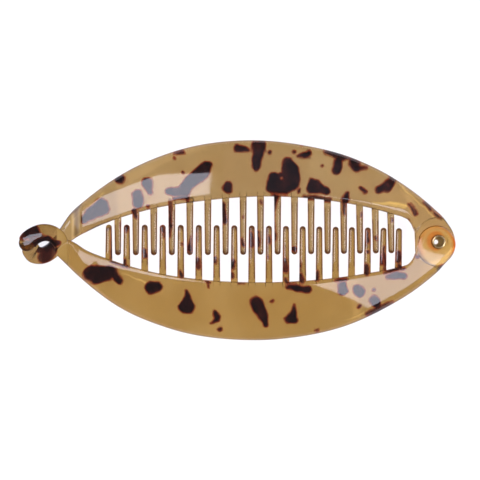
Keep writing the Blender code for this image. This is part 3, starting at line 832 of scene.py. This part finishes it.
def hinge_cylinder(name, radius, bottom, top, flare=0.0):
    """Upright cylinder about the hinge: a circle at two heights, the upper one wider by flare for each mm."""
    turns = np.arange(CYLINDER_SIDES) * 2 * math.pi / CYLINDER_SIDES
    rings = []
    for z, reach in ((bottom, radius), (top, radius + flare * (top - bottom))):
        ring = (PIVOT_X + reach * np.cos(turns), PIVOT_Y + reach * np.sin(turns), np.full(CYLINDER_SIDES, z))
        rings.append(np.stack(ring, axis=1))
    return tube(name, np.stack(rings))


def upper_lug_room(name):
    """Room above the rear lug of the upper jaw, on the lower jaw's side of the lug's centre."""
    x1, x2 = LUG_ROOM_X
    outline = [(x1, UPPER_LUG_Y), (x1, LUG_ROOM_TO_Y), (x2, LUG_ROOM_TO_Y), (x2, UPPER_LUG_Y)]
    return prism(name, outline, REAR_LAYER_TOP, CUT_TOP)


def eyelet(name):
    """Brass eyelet turned about the hinge: a closed profile of radius and height, carried round a circle.

    The rim is a half-round lip. Inside, the bore narrows to a rolled throat whose centre lies a little
    towards the clasp, so the throat's radius varies as the cosine of the turn. The flange is at the back.
    """
    bead = np.linspace(0, math.pi, EYELET_LIP_POINTS)
    lip_middle = 0.5 * (EYELET_LIP_RADIUS + EYELET_BORE_RADIUS)
    top_r = lip_middle + (EYELET_LIP_RADIUS - lip_middle) * np.cos(bead)
    top_z = EYELET_TOP - EYELET_LIP_DEPTH * (1 - np.sin(bead) ** EYELET_LIP_POWER)
    throat_from = EYELET_TOP - EYELET_BORE_DEPTH
    throat_z = np.linspace(throat_from, EYELET_BOTTOM + EYELET_THROAT_END, EYELET_THROAT_POINTS)
    throat_share = ramp(-throat_z, -throat_from, -EYELET_BOTTOM - EYELET_THROAT_HEIGHT)
    throat_r = EYELET_BORE_RADIUS + (EYELET_THROAT_RADIUS - EYELET_BORE_RADIUS) * throat_share
    flange_inside = EYELET_FLANGE_RADIUS - EYELET_CHAMFER
    back_r = [EYELET_THROAT_RADIUS + EYELET_CHAMFER, flange_inside, EYELET_FLANGE_RADIUS, flange_inside,
              EYELET_OUTER_RADIUS, EYELET_OUTER_RADIUS]
    back_z = [EYELET_BOTTOM, EYELET_BOTTOM, EYELET_BOTTOM + EYELET_CHAMFER, EYELET_BOTTOM + EYELET_LIP_DEPTH,
              EYELET_BOTTOM + EYELET_BACK_THICKNESS, EYELET_TOP - EYELET_BACK_THICKNESS]
    profile_r = np.concatenate([top_r, throat_r, back_r])
    profile_z = np.concatenate([top_z, throat_z, back_z])
    drift = np.concatenate([0 * top_r, throat_share, [1, 0, 0, 0, 0, 0]]) * EYELET_THROAT_OFFSET
    turns = np.arange(EYELET_SIDES) * 2 * math.pi / EYELET_SIDES
    x = PIVOT_X - drift[None, :] + profile_r[None, :] * np.cos(turns)[:, None]
    y = PIVOT_Y + profile_r[None, :] * np.sin(turns)[:, None]
    z = np.broadcast_to(profile_z[None, :], x.shape)
    points = np.stack([x, y, z], axis=-1).reshape(-1, 3)
    count = len(profile_r)
    return mesh_object(name, points, ring_quads(EYELET_SIDES + 1, count) % len(points))


def combine(target, helper, operation):
    """Exact Boolean of the target with a helper, applied at once; the helper is then removed."""
    modifier = target.modifiers.new(helper.name, "BOOLEAN")
    modifier.operation = operation
    modifier.object = helper
    modifier.solver = "EXACT"
    graph = bpy.context.evaluated_depsgraph_get()
    mesh = bpy.data.meshes.new_from_object(target.evaluated_get(graph))
    target.modifiers.clear()
    old = target.data
    target.data = mesh
    mesh.name = target.name
    bpy.data.meshes.remove(old)
    bpy.data.objects.remove(helper)


def wavy(x, y, seed):
    """Soft unevenness between -1 and 1: a sum of four sine waves that run in different directions."""
    total = np.zeros_like(x)
    for k, (along_x, along_y, size) in enumerate(OUTLINE_WAVES):
        total += size * np.sin(along_x * x + along_y * y + seed + OUTLINE_WAVE_LAG * k)
    return total / sum(size for _, _, size in OUTLINE_WAVES)


def chart_place(column, row):
    """X and Y of a place in the blotch chart."""
    return (column - CHART_CENTRE_X) * MM_PER_PIXEL, (CHART_CENTRE_Y - row) * MM_PER_PIXEL


def dye_depth(x, y, spots):
    """How far inside the nearest dye spot a point lies, in millimetres, negative outside.

    A spot is a round cone: the distance to its middle line, less a radius that runs from one end's to
    the other's. Sine waves push the point about first, so the edges are not true arcs.
    """
    bent_x = x + OUTLINE_BEND * wavy(x, y, 0.3)
    bent_y = y + OUTLINE_BEND * wavy(y, x, 1.7)
    best = np.full(x.shape, FAR_OUTSIDE)
    for column1, row1, r1, column2, row2, r2 in spots:
        ax, ay = chart_place(column1, row1)
        bx, by = chart_place(column2, row2)
        span = (bx - ax) ** 2 + (by - ay) ** 2
        t = np.clip(((bent_x - ax) * (bx - ax) + (bent_y - ay) * (by - ay)) / span, 0, 1)
        radius = (r1 + (r2 - r1) * t) * MM_PER_PIXEL
        gap = np.hypot(bent_x - ax - t * (bx - ax), bent_y - ay - t * (by - ay))
        best = np.maximum(best, radius - gap)
    return best


def store_marks(obj, spots, haze, painted_glint, tip_side):
    """Writes what the plastic's colour follows to the mesh, one value for each point.

    dye and haze are depths inside the clouds, and the third mark is the depth inside the painted glints
    of refracted light; all are set back a little on faces that look down. wall is 1 on upright sides and
    0 on level faces, and reaches further in round the tips of the teeth, which point to +Y where tip_side
    is 1 and to -Y where it is -1. Where wall is high the colour darkens, partly as the deeper colour
    through the plastic and partly as painted shade.
    """
    mesh = obj.data
    flat = np.empty(len(mesh.vertices) * 3)
    mesh.vertices.foreach_get("co", flat)
    points = flat.reshape(-1, 3) / MM
    mesh.vertices.foreach_get("normal", flat)
    up = flat.reshape(-1, 3)[:, 2]
    x, y = points[:, 0], points[:, 1]
    level = np.abs(up)
    near_tip = ramp(tip_side * y, *NEAR_TIP)
    tooth_wall = np.maximum(1 - ramp(level, *TOOTH_WALL), near_tip * (1 - ramp(level, *TIP_WALL)))
    wall = 1 - ramp(level, *PLATE_WALL)
    wall = np.where(np.abs(y) < slot_half_width(x) - SLOT_MARGIN, tooth_wall, wall)
    wall = np.where(x < HOOKS_TO_X, 1 - ramp(level, *HOOK_WALL), wall)
    set_back = UNDERSIDE_SET_BACK * (up < LOOKS_DOWN)
    values = {"wall": wall}
    for key, chart in (("dye", spots), ("haze", haze), ("painted_glint", painted_glint)):
        values[key] = dye_depth(x, y, chart) - set_back
    for key, value in values.items():
        layer = mesh.attributes.new(key, "FLOAT", "POINT")
        layer.data.foreach_set("value", value)


class Wire:
    """A node's output that can be used in Python arithmetic; each operator adds a Math node."""

    def __init__(self, shader, socket):
        self.shader = shader
        self.socket = socket

    def join(self, operation, first, second):
        return self.shader.node("ShaderNodeMath", {"operation": operation}, {0: first, 1: second})

    def __add__(self, other):
        return self.join("ADD", self, other)

    def __radd__(self, other):
        return self.join("ADD", other, self)

    def __sub__(self, other):
        return self.join("SUBTRACT", self, other)

    def __rsub__(self, other):
        return self.join("SUBTRACT", other, self)

    def __mul__(self, other):
        return self.join("MULTIPLY", self, other)

    def __rmul__(self, other):
        return self.join("MULTIPLY", other, self)


class Shader:
    """A material under construction: node() adds any node and returns its output as a Wire."""

    def __init__(self, name):
        self.material = bpy.data.materials.new(name)
        self.material.use_nodes = True
        self.tree = self.material.node_tree
        self.surface = self.tree.nodes["Principled BSDF"]
        self.end = self.tree.nodes["Material Output"]

    def node(self, kind, settings=None, inputs=None, output=0):
        made = self.tree.nodes.new(kind)
        for key, value in (settings or {}).items():
            setattr(made, key, value)
        for key, value in (inputs or {}).items():
            self.feed(made.inputs[key], value)
        return Wire(self, made.outputs[output])

    def feed(self, socket, value):
        """Links a Wire to a socket or sets a plain value there; a colour has three numbers."""
        if isinstance(value, Wire):
            self.tree.links.new(value.socket, socket)
        elif socket.type == "RGBA":
            socket.default_value = (*value, 1)
        else:
            socket.default_value = value

    def set(self, name, value):
        """Feeds a socket of the material's own Principled BSDF."""
        self.feed(self.surface.inputs[name], value)

    def place(self):
        """Object coordinates, in metres."""
        return self.node("ShaderNodeTexCoord", output=3)

    def plan(self, place):
        """A place without its height, in millimetres."""
        inputs = {0: place, 1: (1 / MM, 1 / MM, 0.0)}
        return self.node("ShaderNodeVectorMath", {"operation": "MULTIPLY"}, inputs)

    def axis(self, place, number):
        """One coordinate of a place: 0 is X, 1 is Y and 2 is Z."""
        return self.node("ShaderNodeSeparateXYZ", {}, {"Vector": place}, number)

    def distance(self, place, x, y):
        """Distance in plan from a point to a place without height."""
        inputs = {0: place, 1: (x, y, 0.0)}
        return self.node("ShaderNodeVectorMath", {"operation": "DISTANCE"}, inputs, output=1)

    def mark(self, key):
        """Value that the mesh stores for each point."""
        return self.node("ShaderNodeAttribute", {"attribute_name": key}, output=2)

    def noise(self, place, scale, detail):
        """Noise between 0 and 1 whose features are about 1/scale metres across."""
        return self.node("ShaderNodeTexNoise", {}, {"Vector": place, "Scale": scale, "Detail": detail})

    def step(self, value, start, end):
        """Smooth step of a value from 0 at start to 1 at end."""
        settings = {"interpolation_type": "SMOOTHSTEP"}
        inputs = {"Value": value, "From Min": start, "From Max": end}
        return self.node("ShaderNodeMapRange", settings, inputs)

    def blend(self, share, first, second):
        """Colour that runs from the first to the second as share goes from 0 to 1."""
        settings = {"data_type": "RGBA"}
        return self.node("ShaderNodeMix", settings, {0: share, 6: first, 7: second}, output=2)

    def bump(self, height, strength, distance):
        """Normal that is bent as if the surface rose and fell with height."""
        inputs = {"Strength": strength, "Distance": distance, "Height": height}
        return self.node("ShaderNodeBump", {}, inputs)


def hinge_lap_and_painted_light(shader, plan, amber, lap, colours):
    """Hinge amber: paler where the jaws lap, with painted light on the lug's edge and painted shadow round
    the bore.
    """
    x, y, radius = lap
    lapped = shader.step(shader.distance(plan, x, y), radius + LAP_BLUR, radius - LAP_BLUR)
    amber = shader.blend(lapped, amber, colours.amber_lap)
    # Painted light: orange along the lower lug's edge, fading out at the bottom and strongest towards the
    # hinge
    from_lug = shader.distance(plan, LOWER_LUG_X, LOWER_LUG_Y)
    ring = shader.step(from_lug, LOWER_LUG_RADIUS - LUG_PAINTED_LIGHT[0], LOWER_LUG_RADIUS - LUG_PAINTED_LIGHT[1])
    ring = ring * shader.step(from_lug, LOWER_LUG_RADIUS + LUG_PAINTED_LIGHT_OUTSIDE, LOWER_LUG_RADIUS)
    low, high = LUG_PAINTED_LIGHT_STEP_Y
    ring = ring * shader.step(shader.axis(plan, 1), LOWER_LUG_Y + low, LOWER_LUG_Y + high)
    low, high = LUG_PAINTED_LIGHT_STEP_X
    along = shader.step(shader.axis(plan, 0), LOWER_LUG_X + low, LOWER_LUG_X + high)
    ring = ring * (LUG_PAINTED_LIGHT_LEAST + along * LUG_PAINTED_LIGHT_GAIN)
    amber = shader.blend(ring, amber, colours.lug_painted_light_and_shadow)
    # Painted shadow round the eyelet's flange
    x, y, outside, inside = EYELET_PAINTED_SHADOW
    seat = shader.step(shader.distance(plan, x, y), outside, inside)
    return shader.blend(seat * EYELET_PAINTED_SHADOW_SHARE, amber, colours.lug_painted_light_and_shadow)


def dye_clouds(shader, place, amber, colours):
    """Dye over the amber: thin clouds, then each blotch with its red-brown rim and softly darker heart."""
    ragged = (shader.noise(place, *OUTLINE_GRAIN) - 0.5) * OUTLINE_RAGGEDNESS
    depth = shader.mark("dye") + ragged + CLOUD_GROWTH
    haze = shader.mark("haze") + ragged * HAZE_RAGGEDNESS
    colour = shader.blend(shader.step(haze, *HAZE_SETS_IN) * HAZE_SHARE, amber, colours.haze)
    colour = shader.blend(shader.step(depth, *RIM_SETS_IN), colour, colours.blotch_rim)
    warm = shader.step(shader.noise(place, *HEART_GRAIN), *HEART_STEP)
    heart = shader.blend(warm, colours.blotch, colours.blotch_warm)
    return shader.blend(shader.step(depth, *HEART_SETS_IN), colour, heart)


def tortoiseshell(name, amber_light, amber_deep, lap, milky, fall, colours):
    """Clear amber plastic with dark dye clouds.

    The amber drifts a little from place to place and carries painted light: golden glints of refracted
    light along creases, and a paler lift where it falls to the clasp. The upright sides and the teeth's
    tips are darker, partly the deeper colour through the plastic and partly painted shade. Where the jaws
    cross at the clasp it is milky.
    """
    shader = Shader(name)
    place = shader.place()
    plan = shader.plan(place)
    along = shader.axis(plan, 0)

    drift = shader.step(shader.noise(place, *AMBER_DRIFT), *DRIFT_STEP)
    amber = shader.blend(drift, amber_light, amber_deep)
    # Painted light: golden glints of refracted light along creases and edges
    amber = shader.blend(shader.step(shader.mark("painted_glint"), *PAINTED_GLINT_SETS_IN), amber, colours.amber_painted_glint)
    amber = hinge_lap_and_painted_light(shader, plan, amber, lap, colours)
    start, end = fall
    # Painted light: paler amber on the upper jaw's fall to the clasp, offsetting the shade of its tilt
    slope = shader.step(along, -end, -end + FALL_BLUR) * shader.step(along, -start, -start - FALL_BLUR)
    amber = shader.blend(slope, amber, colours.amber_fall_painted_light)
    # Darker on upright sides and round the teeth's tips: partly the deeper colour through the plastic, partly
    # painted shade
    amber = shader.blend(shader.mark("wall"), amber, colours.amber_wall_depth_and_shade)

    inputs = {
        "Base Color": dye_clouds(shader, place, amber, colours),
        "Roughness": 0.03 + shader.noise(place, *POLISH_DRIFT) * 0.04,
        "Normal": shader.bump(shader.noise(place, *SWELL), 0.10, 0.0004),
        "IOR": PLASTIC_IOR,
    }
    for key, value in inputs.items():
        shader.set(key, value)
    shader.set("Transmission Weight", 1.0)
    clear = Wire(shader, shader.surface.outputs[0])
    cloudy = shader.node("ShaderNodeBsdfPrincipled", {}, inputs)
    share = shader.step(along, milky[0], milky[1]) * shader.step(along, milky[3], milky[2])
    mixed = shader.node("ShaderNodeMixShader", {}, {0: share * MILKY_SHARE, 1: clear, 2: cloudy})
    shader.feed(shader.end.inputs["Surface"], mixed)
    return shader.material


def polished_brass(name, colours):
    """Gold-tone brass with small scuffs and darker patches, darker and less metallic down in the bore."""
    shader = Shader(name)
    place = shader.place()
    scuff = shader.noise(place, *BRASS_SCUFFS)
    patches = shader.step(shader.noise(place, *BRASS_PATCHES), *BRASS_STEP)
    colour = shader.blend(patches, colours.brass, colours.brass_deep)
    height = shader.axis(place, 2) * (1 / MM)
    # Darker and less metallic down in the bore
    inside = shader.step(height, EYELET_TOP - BORE_DARKENING[0], EYELET_TOP - BORE_DARKENING[1])
    shader.set("Base Color", shader.blend(inside, colour, colours.brass_bore))
    shader.set("Metallic", 1.0 - inside * 0.4)
    shader.set("Roughness", 0.14 + scuff * 0.22)
    shader.set("Normal", shader.bump(scuff, 0.15, 0.00005))
    return shader.material


def pale_paper(name, colours):
    """Matte white studio floor with a faint unevenness."""
    shader = Shader(name)
    cloud = shader.noise(shader.place(), *PAPER_CLOUD)
    deeper = tuple(0.985 * c for c in colours.floor)
    shader.set("Base Color", shader.blend(cloud, colours.floor, deeper))
    shader.set("Roughness", 0.7 + cloud * 0.1)
    shader.set("Specular IOR Level", 0.2)
    return shader.material


def dress(obj, material, node, body):
    """Gives a finished piece its material, sharp edges and body, and hides its CAD node."""
    obj.data.materials.clear()
    obj.data.materials.append(material)
    obj.data.shade_smooth()
    obj.data.set_sharp_from_angle(angle=math.radians(SHARP_ANGLE_DEGREES))
    obj.visible_shadow = False
    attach(obj, body)
    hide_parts(node)


class ClipSizes(bpy.types.PropertyGroup):
    """Sizes of the moulded parts, in millimetres."""

    plate_thickness: FloatProperty(
        name="Plate thickness", description="Thickness of the plates between their edges, mm", default=2.6)
    bead_depth: FloatProperty(
        name="Bead depth", description="Fall of the rounded edge along the teeth, mm", default=1.3)
    bevel_width: FloatProperty(
        name="Bevel width", description="Width of the bevel along the outer edge, mm", default=2.6)
    bevel_drop: FloatProperty(
        name="Bevel drop", description="Fall of the bevel along the outer edge, mm", default=1.2)
    tooth_root: FloatProperty(
        name="Tooth root", description="Width of a tooth at the plate, mm", default=2.15)
    tooth_tip: FloatProperty(
        name="Tooth tip", description="Width of a tooth at its round tip, mm", default=1.8)
    tooth_thickness: FloatProperty(
        name="Tooth thickness", description="Thickness of a tooth from front to back, mm", default=1.9)
    tooth_dome: FloatProperty(
        name="Tooth dome", description="Height of the round front of a tooth, mm", default=0.6)


class ClipColours(bpy.types.PropertyGroup):
    """Colours of the plastic, the brass and the floor."""

    upper_light: FloatVectorProperty(
        name="Upper light amber", description="Clear plastic of the upper jaw where it is palest",
        default=(0.425, 0.28, 0.112), **COLOUR)
    upper_deep: FloatVectorProperty(
        name="Upper deep amber", description="Clear plastic of the upper jaw where it is deepest",
        default=(0.39, 0.245, 0.09), **COLOUR)
    lower_light: FloatVectorProperty(
        name="Lower light amber", description="Clear plastic of the lower jaw where it is palest",
        default=(0.43, 0.264, 0.08), **COLOUR)
    lower_deep: FloatVectorProperty(
        name="Lower deep amber", description="Clear plastic of the lower jaw where it is deepest",
        default=(0.385, 0.226, 0.06), **COLOUR)
    amber_lap: FloatVectorProperty(
        name="Lapped amber", description="Clear plastic where two layers lie over each other",
        default=(0.71, 0.56, 0.30), **COLOUR)
    # Painted light: colour of the golden glints of refracted light along creases and edges
    amber_painted_glint: FloatVectorProperty(
        name="Amber glow", description="Plastic along the golden creases",
        default=(0.70, 0.47, 0.14), **COLOUR)
    # Painted light: paler amber that offsets the shade on the upper jaw's fall
    amber_fall_painted_light: FloatVectorProperty(
        name="Amber fall painted light", description="Plastic where the upper jaw falls to the clasp",
        default=(0.98, 0.68, 0.30), **COLOUR)
    # Painted light and shadow: orange light along the lug's edge, and the shadow round the eyelet
    lug_painted_light_and_shadow: FloatVectorProperty(
        name="Lug painted light and shadow", description="Clear plastic along the edge of the round lug",
        default=(0.72, 0.28, 0.04), **COLOUR)
    # Partly the deeper colour through the plastic's depth, partly painted shade on upright sides and tooth
    # tips
    amber_wall_depth_and_shade: FloatVectorProperty(
        name="Edge amber with painted shade", description="Clear plastic on the upright sides, seen through its depth",
        default=(0.10, 0.030, 0.006), **COLOUR)
    blotch: FloatVectorProperty(
        name="Blotch", description="Heart of a dye cloud", default=(0.008, 0.002, 0.003), **COLOUR)
    blotch_warm: FloatVectorProperty(
        name="Warm blotch", description="Thinner part of a dye cloud",
        default=(0.045, 0.009, 0.007), **COLOUR)
    blotch_rim: FloatVectorProperty(
        name="Blotch rim", description="Red-brown edge of a dye cloud",
        default=(0.22, 0.036, 0.012), **COLOUR)
    haze: FloatVectorProperty(
        name="Haze", description="Thin dye cloud", default=(0.09, 0.02, 0.012), **COLOUR)
    brass: FloatVectorProperty(
        name="Brass", description="Gold-tone brass", default=(0.90, 0.70, 0.38), **COLOUR)
    brass_deep: FloatVectorProperty(
        name="Deep brass", description="Darker patches of the brass", default=(0.78, 0.54, 0.24), **COLOUR)
    # Darker, less metallic brass down in the bore
    brass_bore: FloatVectorProperty(
        name="Brass bore", description="Duller brass down in the bore",
        default=(0.44, 0.31, 0.13), **COLOUR)
    floor: FloatVectorProperty(
        name="Floor", description="Pale studio floor", default=(0.93, 0.93, 0.93), **COLOUR)


class ClipStudio(bpy.types.PropertyGroup):
    """Camera distance and light levels."""

    camera_distance: FloatProperty(
        name="Camera distance", description="Height of the camera over the clip", unit="LENGTH", default=2.0)
    surround: FloatProperty(
        name="Surround", description="Brightness of the even light all round", default=0.2)
    fill: FloatProperty(
        name="Fill", description="Brightness of the wide light over the floor", default=4.6)
    softbox: FloatProperty(
        name="Softbox", description="Brightness of the two bright cards", default=6.8)
    sheen: FloatProperty(
        name="Sheen", description="Brightness of the dim wide card", default=0.4)


class CLIP_OT_upper_jaw(bpy.types.Operator):
    """Make the upper jaw: plate, teeth, rear lug and rear hook in one moulding"""

    bl_idname = "clip.upper_jaw"
    bl_label = "Upper jaw"

    def execute(self, context):
        sizes = context.scene.clip_sizes
        nose = UPPER_LUG_X + UPPER_LUG_RADIUS
        form = (UPPER_BEAD, UPPER_FACET, UPPER_FACET_SLOPE, UPPER_FALL, UPPER_UNDERSIDE_AT_ENDS)
        jaw = plate("upper_jaw_moulding", upper_edges, UPPER_INNER_EDGE[-1][0], nose, form, sizes)
        row = teeth("upper_teeth", UPPER_FIRST_TOOTH_X, UPPER_TEETH, UPPER_INNER_EDGE,
                    UPPER_TIP_AT_CLASP, UPPER_TIP_AT_HINGE, sizes)
        combine(jaw, row, "UNION")
        offset = math.hypot(LOWER_LUG_X - PIVOT_X, LOWER_LUG_Y - PIVOT_Y)
        swing = LOWER_LUG_RADIUS + offset + GAP
        lap = hinge_cylinder("upper_lap", swing, REAR_LAYER_TOP, CUT_TOP, SWING_ROOM_FLARE)
        combine(jaw, lap, "DIFFERENCE")
        combine(jaw, upper_lug_room("upper_lug_lap"), "DIFFERENCE")
        hook = hook_grid(UPPER_HOOK, 0.0, REAR_LAYER_TOP, REAR_HOOK_WALL, REAR_HOOK_LEAN)
        combine(jaw, tube("upper_hook", hook), "UNION")
        combine(jaw, hinge_cylinder("upper_bore", LUG_BORE_RADIUS, CUT_BOTTOM, CUT_TOP), "DIFFERENCE")
        seat = hinge_cylinder("upper_seat", FLANGE_SEAT_RADIUS, CUT_BOTTOM, REAR_SEAT_DEPTH)
        combine(jaw, seat, "DIFFERENCE")
        colours = context.scene.clip_colours
        material = tortoiseshell("tortoiseshell_upper", colours.upper_light, colours.upper_deep,
                                 UPPER_LAP, UPPER_MILKY, UPPER_FALL, colours)
        store_marks(jaw, UPPER_SPOTS, UPPER_HAZE, UPPER_PAINTED_GLINTS, -1)
        dress(jaw, material, "upper_jaw", "upper_jaw")
        return {"FINISHED"}


class CLIP_OT_lower_jaw(bpy.types.Operator):
    """Make the lower jaw: plate, teeth, front lug and front hook in one moulding"""

    bl_idname = "clip.lower_jaw"
    bl_label = "Lower jaw"

    def execute(self, context):
        sizes = context.scene.clip_sizes
        nose = LOWER_LUG_X + LOWER_LUG_RADIUS
        form = (LOWER_BEAD, LOWER_FACET, LOWER_FACET_SLOPE, NO_FALL, LOWER_UNDERSIDE_AT_ENDS)
        jaw = plate("lower_jaw_moulding", lower_edges, LOWER_INNER_EDGE[-1][0], nose, form, sizes)
        row = teeth("lower_teeth", LOWER_FIRST_TOOTH_X, LOWER_TEETH, LOWER_INNER_EDGE,
                    LOWER_TIP_AT_CLASP, LOWER_TIP_AT_HINGE, sizes)
        combine(jaw, row, "UNION")
        hook = hook_grid(LOWER_HOOK, FRONT_LAYER_BOTTOM, HOOK_TOP, FRONT_HOOK_WALL, FRONT_HOOK_LEAN)
        combine(jaw, tube("lower_hook", hook), "UNION")
        combine(jaw, hinge_cylinder("lower_bore", LUG_BORE_RADIUS, CUT_BOTTOM, CUT_TOP), "DIFFERENCE")
        seat = hinge_cylinder("lower_seat", FLANGE_SEAT_RADIUS, FLANGE_SEAT_HEIGHT, CUT_TOP)
        combine(jaw, seat, "DIFFERENCE")
        colours = context.scene.clip_colours
        material = tortoiseshell("tortoiseshell_lower", colours.lower_light, colours.lower_deep,
                                 LOWER_LAP, LOWER_MILKY, NO_FALL, colours)
        store_marks(jaw, LOWER_SPOTS, LOWER_HAZE, LOWER_PAINTED_GLINTS, 1)
        dress(jaw, material, "lower_jaw", "lower_jaw")
        return {"FINISHED"}


class CLIP_OT_eyelet(bpy.types.Operator):
    """Finish the brass eyelet of the hinge"""

    bl_idname = "clip.eyelet"
    bl_label = "Hinge eyelet"

    def execute(self, context):
        ring = eyelet("hinge_eyelet_turned")
        material = polished_brass("eyelet_brass", context.scene.clip_colours)
        dress(ring, material, "hinge_eyelet", "upper_jaw")
        return {"FINISHED"}


class CLIP_OT_stage(bpy.types.Operator):
    """Set the floor, the surround, the light cards, the fill light and the camera straight above the clip"""

    bl_idname = "clip.stage"
    bl_label = "Studio"

    def card(self, name, corners, brightness):
        """Level glowing card over the clip; it is seen in reflections and never by the camera."""
        mesh = bpy.data.meshes.new(name)
        mesh.from_pydata([(x, y, CARD_HEIGHT) for x, y in corners], [], [tuple(range(len(corners)))])
        obj = bpy.data.objects.new(name, mesh)
        bpy.context.scene.collection.objects.link(obj)
        shader = Shader(name)
        shader.set("Base Color", (0, 0, 0))
        shader.set("Specular IOR Level", 0.0)
        shader.set("Emission Color", CARD_TINT)
        shader.set("Emission Strength", brightness)
        mesh.materials.append(shader.material)
        obj.visible_camera = False

    def fill(self, brightness):
        """Wide soft light that brightens the floor and isn't mirrored by the plastic."""
        data = bpy.data.lights.new("fill_over_floor", "AREA")
        data.size = FILL_SIZE
        data.energy = brightness * math.pi * data.size**2
        obj = bpy.data.objects.new("fill_over_floor", data)
        obj.location = (0, 0, FILL_HEIGHT)
        obj.visible_glossy = False
        obj.visible_transmission = False
        bpy.context.scene.collection.objects.link(obj)

    def floor(self, colours):
        """Square floor just under the clip."""
        corners = [(-1, -1, 0), (1, -1, 0), (1, 1, 0), (-1, 1, 0)]
        points = (np.array(corners) * FLOOR_HALF + (0, 0, FLOOR_HEIGHT)) / MM
        obj = mesh_object("studio_floor", points, np.array([(0, 1, 2, 3)]))
        obj.data.materials.append(pale_paper("studio_floor", colours))

    def surround(self, brightness):
        """Even white light from all round."""
        world = bpy.data.worlds.new("studio_surround")
        world.use_nodes = True
        background = world.node_tree.nodes["Background"]
        background.inputs["Color"].default_value = (1, 1, 1, 1)
        background.inputs["Strength"].default_value = brightness
        bpy.context.scene.world = world

    def camera(self, distance):
        """Camera that looks straight down, framed so that the blotch chart's pixels are the picture's."""
        data = bpy.data.cameras.new("camera")
        data.sensor_width = SENSOR_WIDTH
        data.lens = SENSOR_WIDTH * distance / (PICTURE_PIXELS * MM_PER_PIXEL * MM)
        obj = bpy.data.objects.new("camera", data)
        x, y = chart_place(0.5 * PICTURE_PIXELS, 0.5 * PICTURE_PIXELS)
        obj.location = (x * MM, y * MM, distance + PICTURE_HEIGHT)
        bpy.context.scene.collection.objects.link(obj)
        bpy.context.scene.camera = obj

    def execute(self, context):
        studio = context.scene.clip_studio
        self.floor(context.scene.clip_colours)
        self.surround(studio.surround)
        self.card("card_clasp_side", CLASP_SIDE_CARD, studio.softbox)
        self.card("card_hinge_side", HINGE_SIDE_CARD, studio.softbox)
        self.card("card_sheen", SHEEN_CARD, studio.sheen)
        self.fill(studio.fill)
        self.camera(studio.camera_distance)
        context.scene.view_settings.view_transform = "Standard"
        return {"FINISHED"}


class CLIP_PT_sidebar(bpy.types.Panel):
    """Buttons and settings in the sidebar of the 3D view"""

    bl_idname = "CLIP_PT_sidebar"
    bl_label = "Hair clip"
    bl_space_type = "VIEW_3D"
    bl_region_type = "UI"
    bl_category = "Hair clip"

    def draw(self, context):
        for group in ("clip_sizes", "clip_colours", "clip_studio"):
            box = self.layout.box()
            settings = getattr(context.scene, group)
            for key in settings.__annotations__:
                box.prop(settings, key)
        for operator in OPERATORS:
            self.layout.operator(operator.bl_idname)


GROUPS = {"clip_sizes": ClipSizes, "clip_colours": ClipColours, "clip_studio": ClipStudio}
OPERATORS = (CLIP_OT_upper_jaw, CLIP_OT_lower_jaw, CLIP_OT_eyelet, CLIP_OT_stage)


def register():
    """Registers every class and hangs the settings on the scene."""
    for name, group in GROUPS.items():
        bpy.utils.register_class(group)
        setattr(bpy.types.Scene, name, bpy.props.PointerProperty(type=group))
    for operator in OPERATORS:
        bpy.utils.register_class(operator)
    bpy.utils.register_class(CLIP_PT_sidebar)


def unregister():
    """Takes back all that register() added."""
    bpy.utils.unregister_class(CLIP_PT_sidebar)
    for operator in OPERATORS:
        bpy.utils.unregister_class(operator)
    for name, group in GROUPS.items():
        delattr(bpy.types.Scene, name)
        bpy.utils.unregister_class(group)


def main():
    """Makes every piece and the studio."""
    register()
    bpy.ops.clip.upper_jaw()
    bpy.ops.clip.lower_jaw()
    bpy.ops.clip.eyelet()
    bpy.ops.clip.stage()


if __name__ == "__main__":
    main()
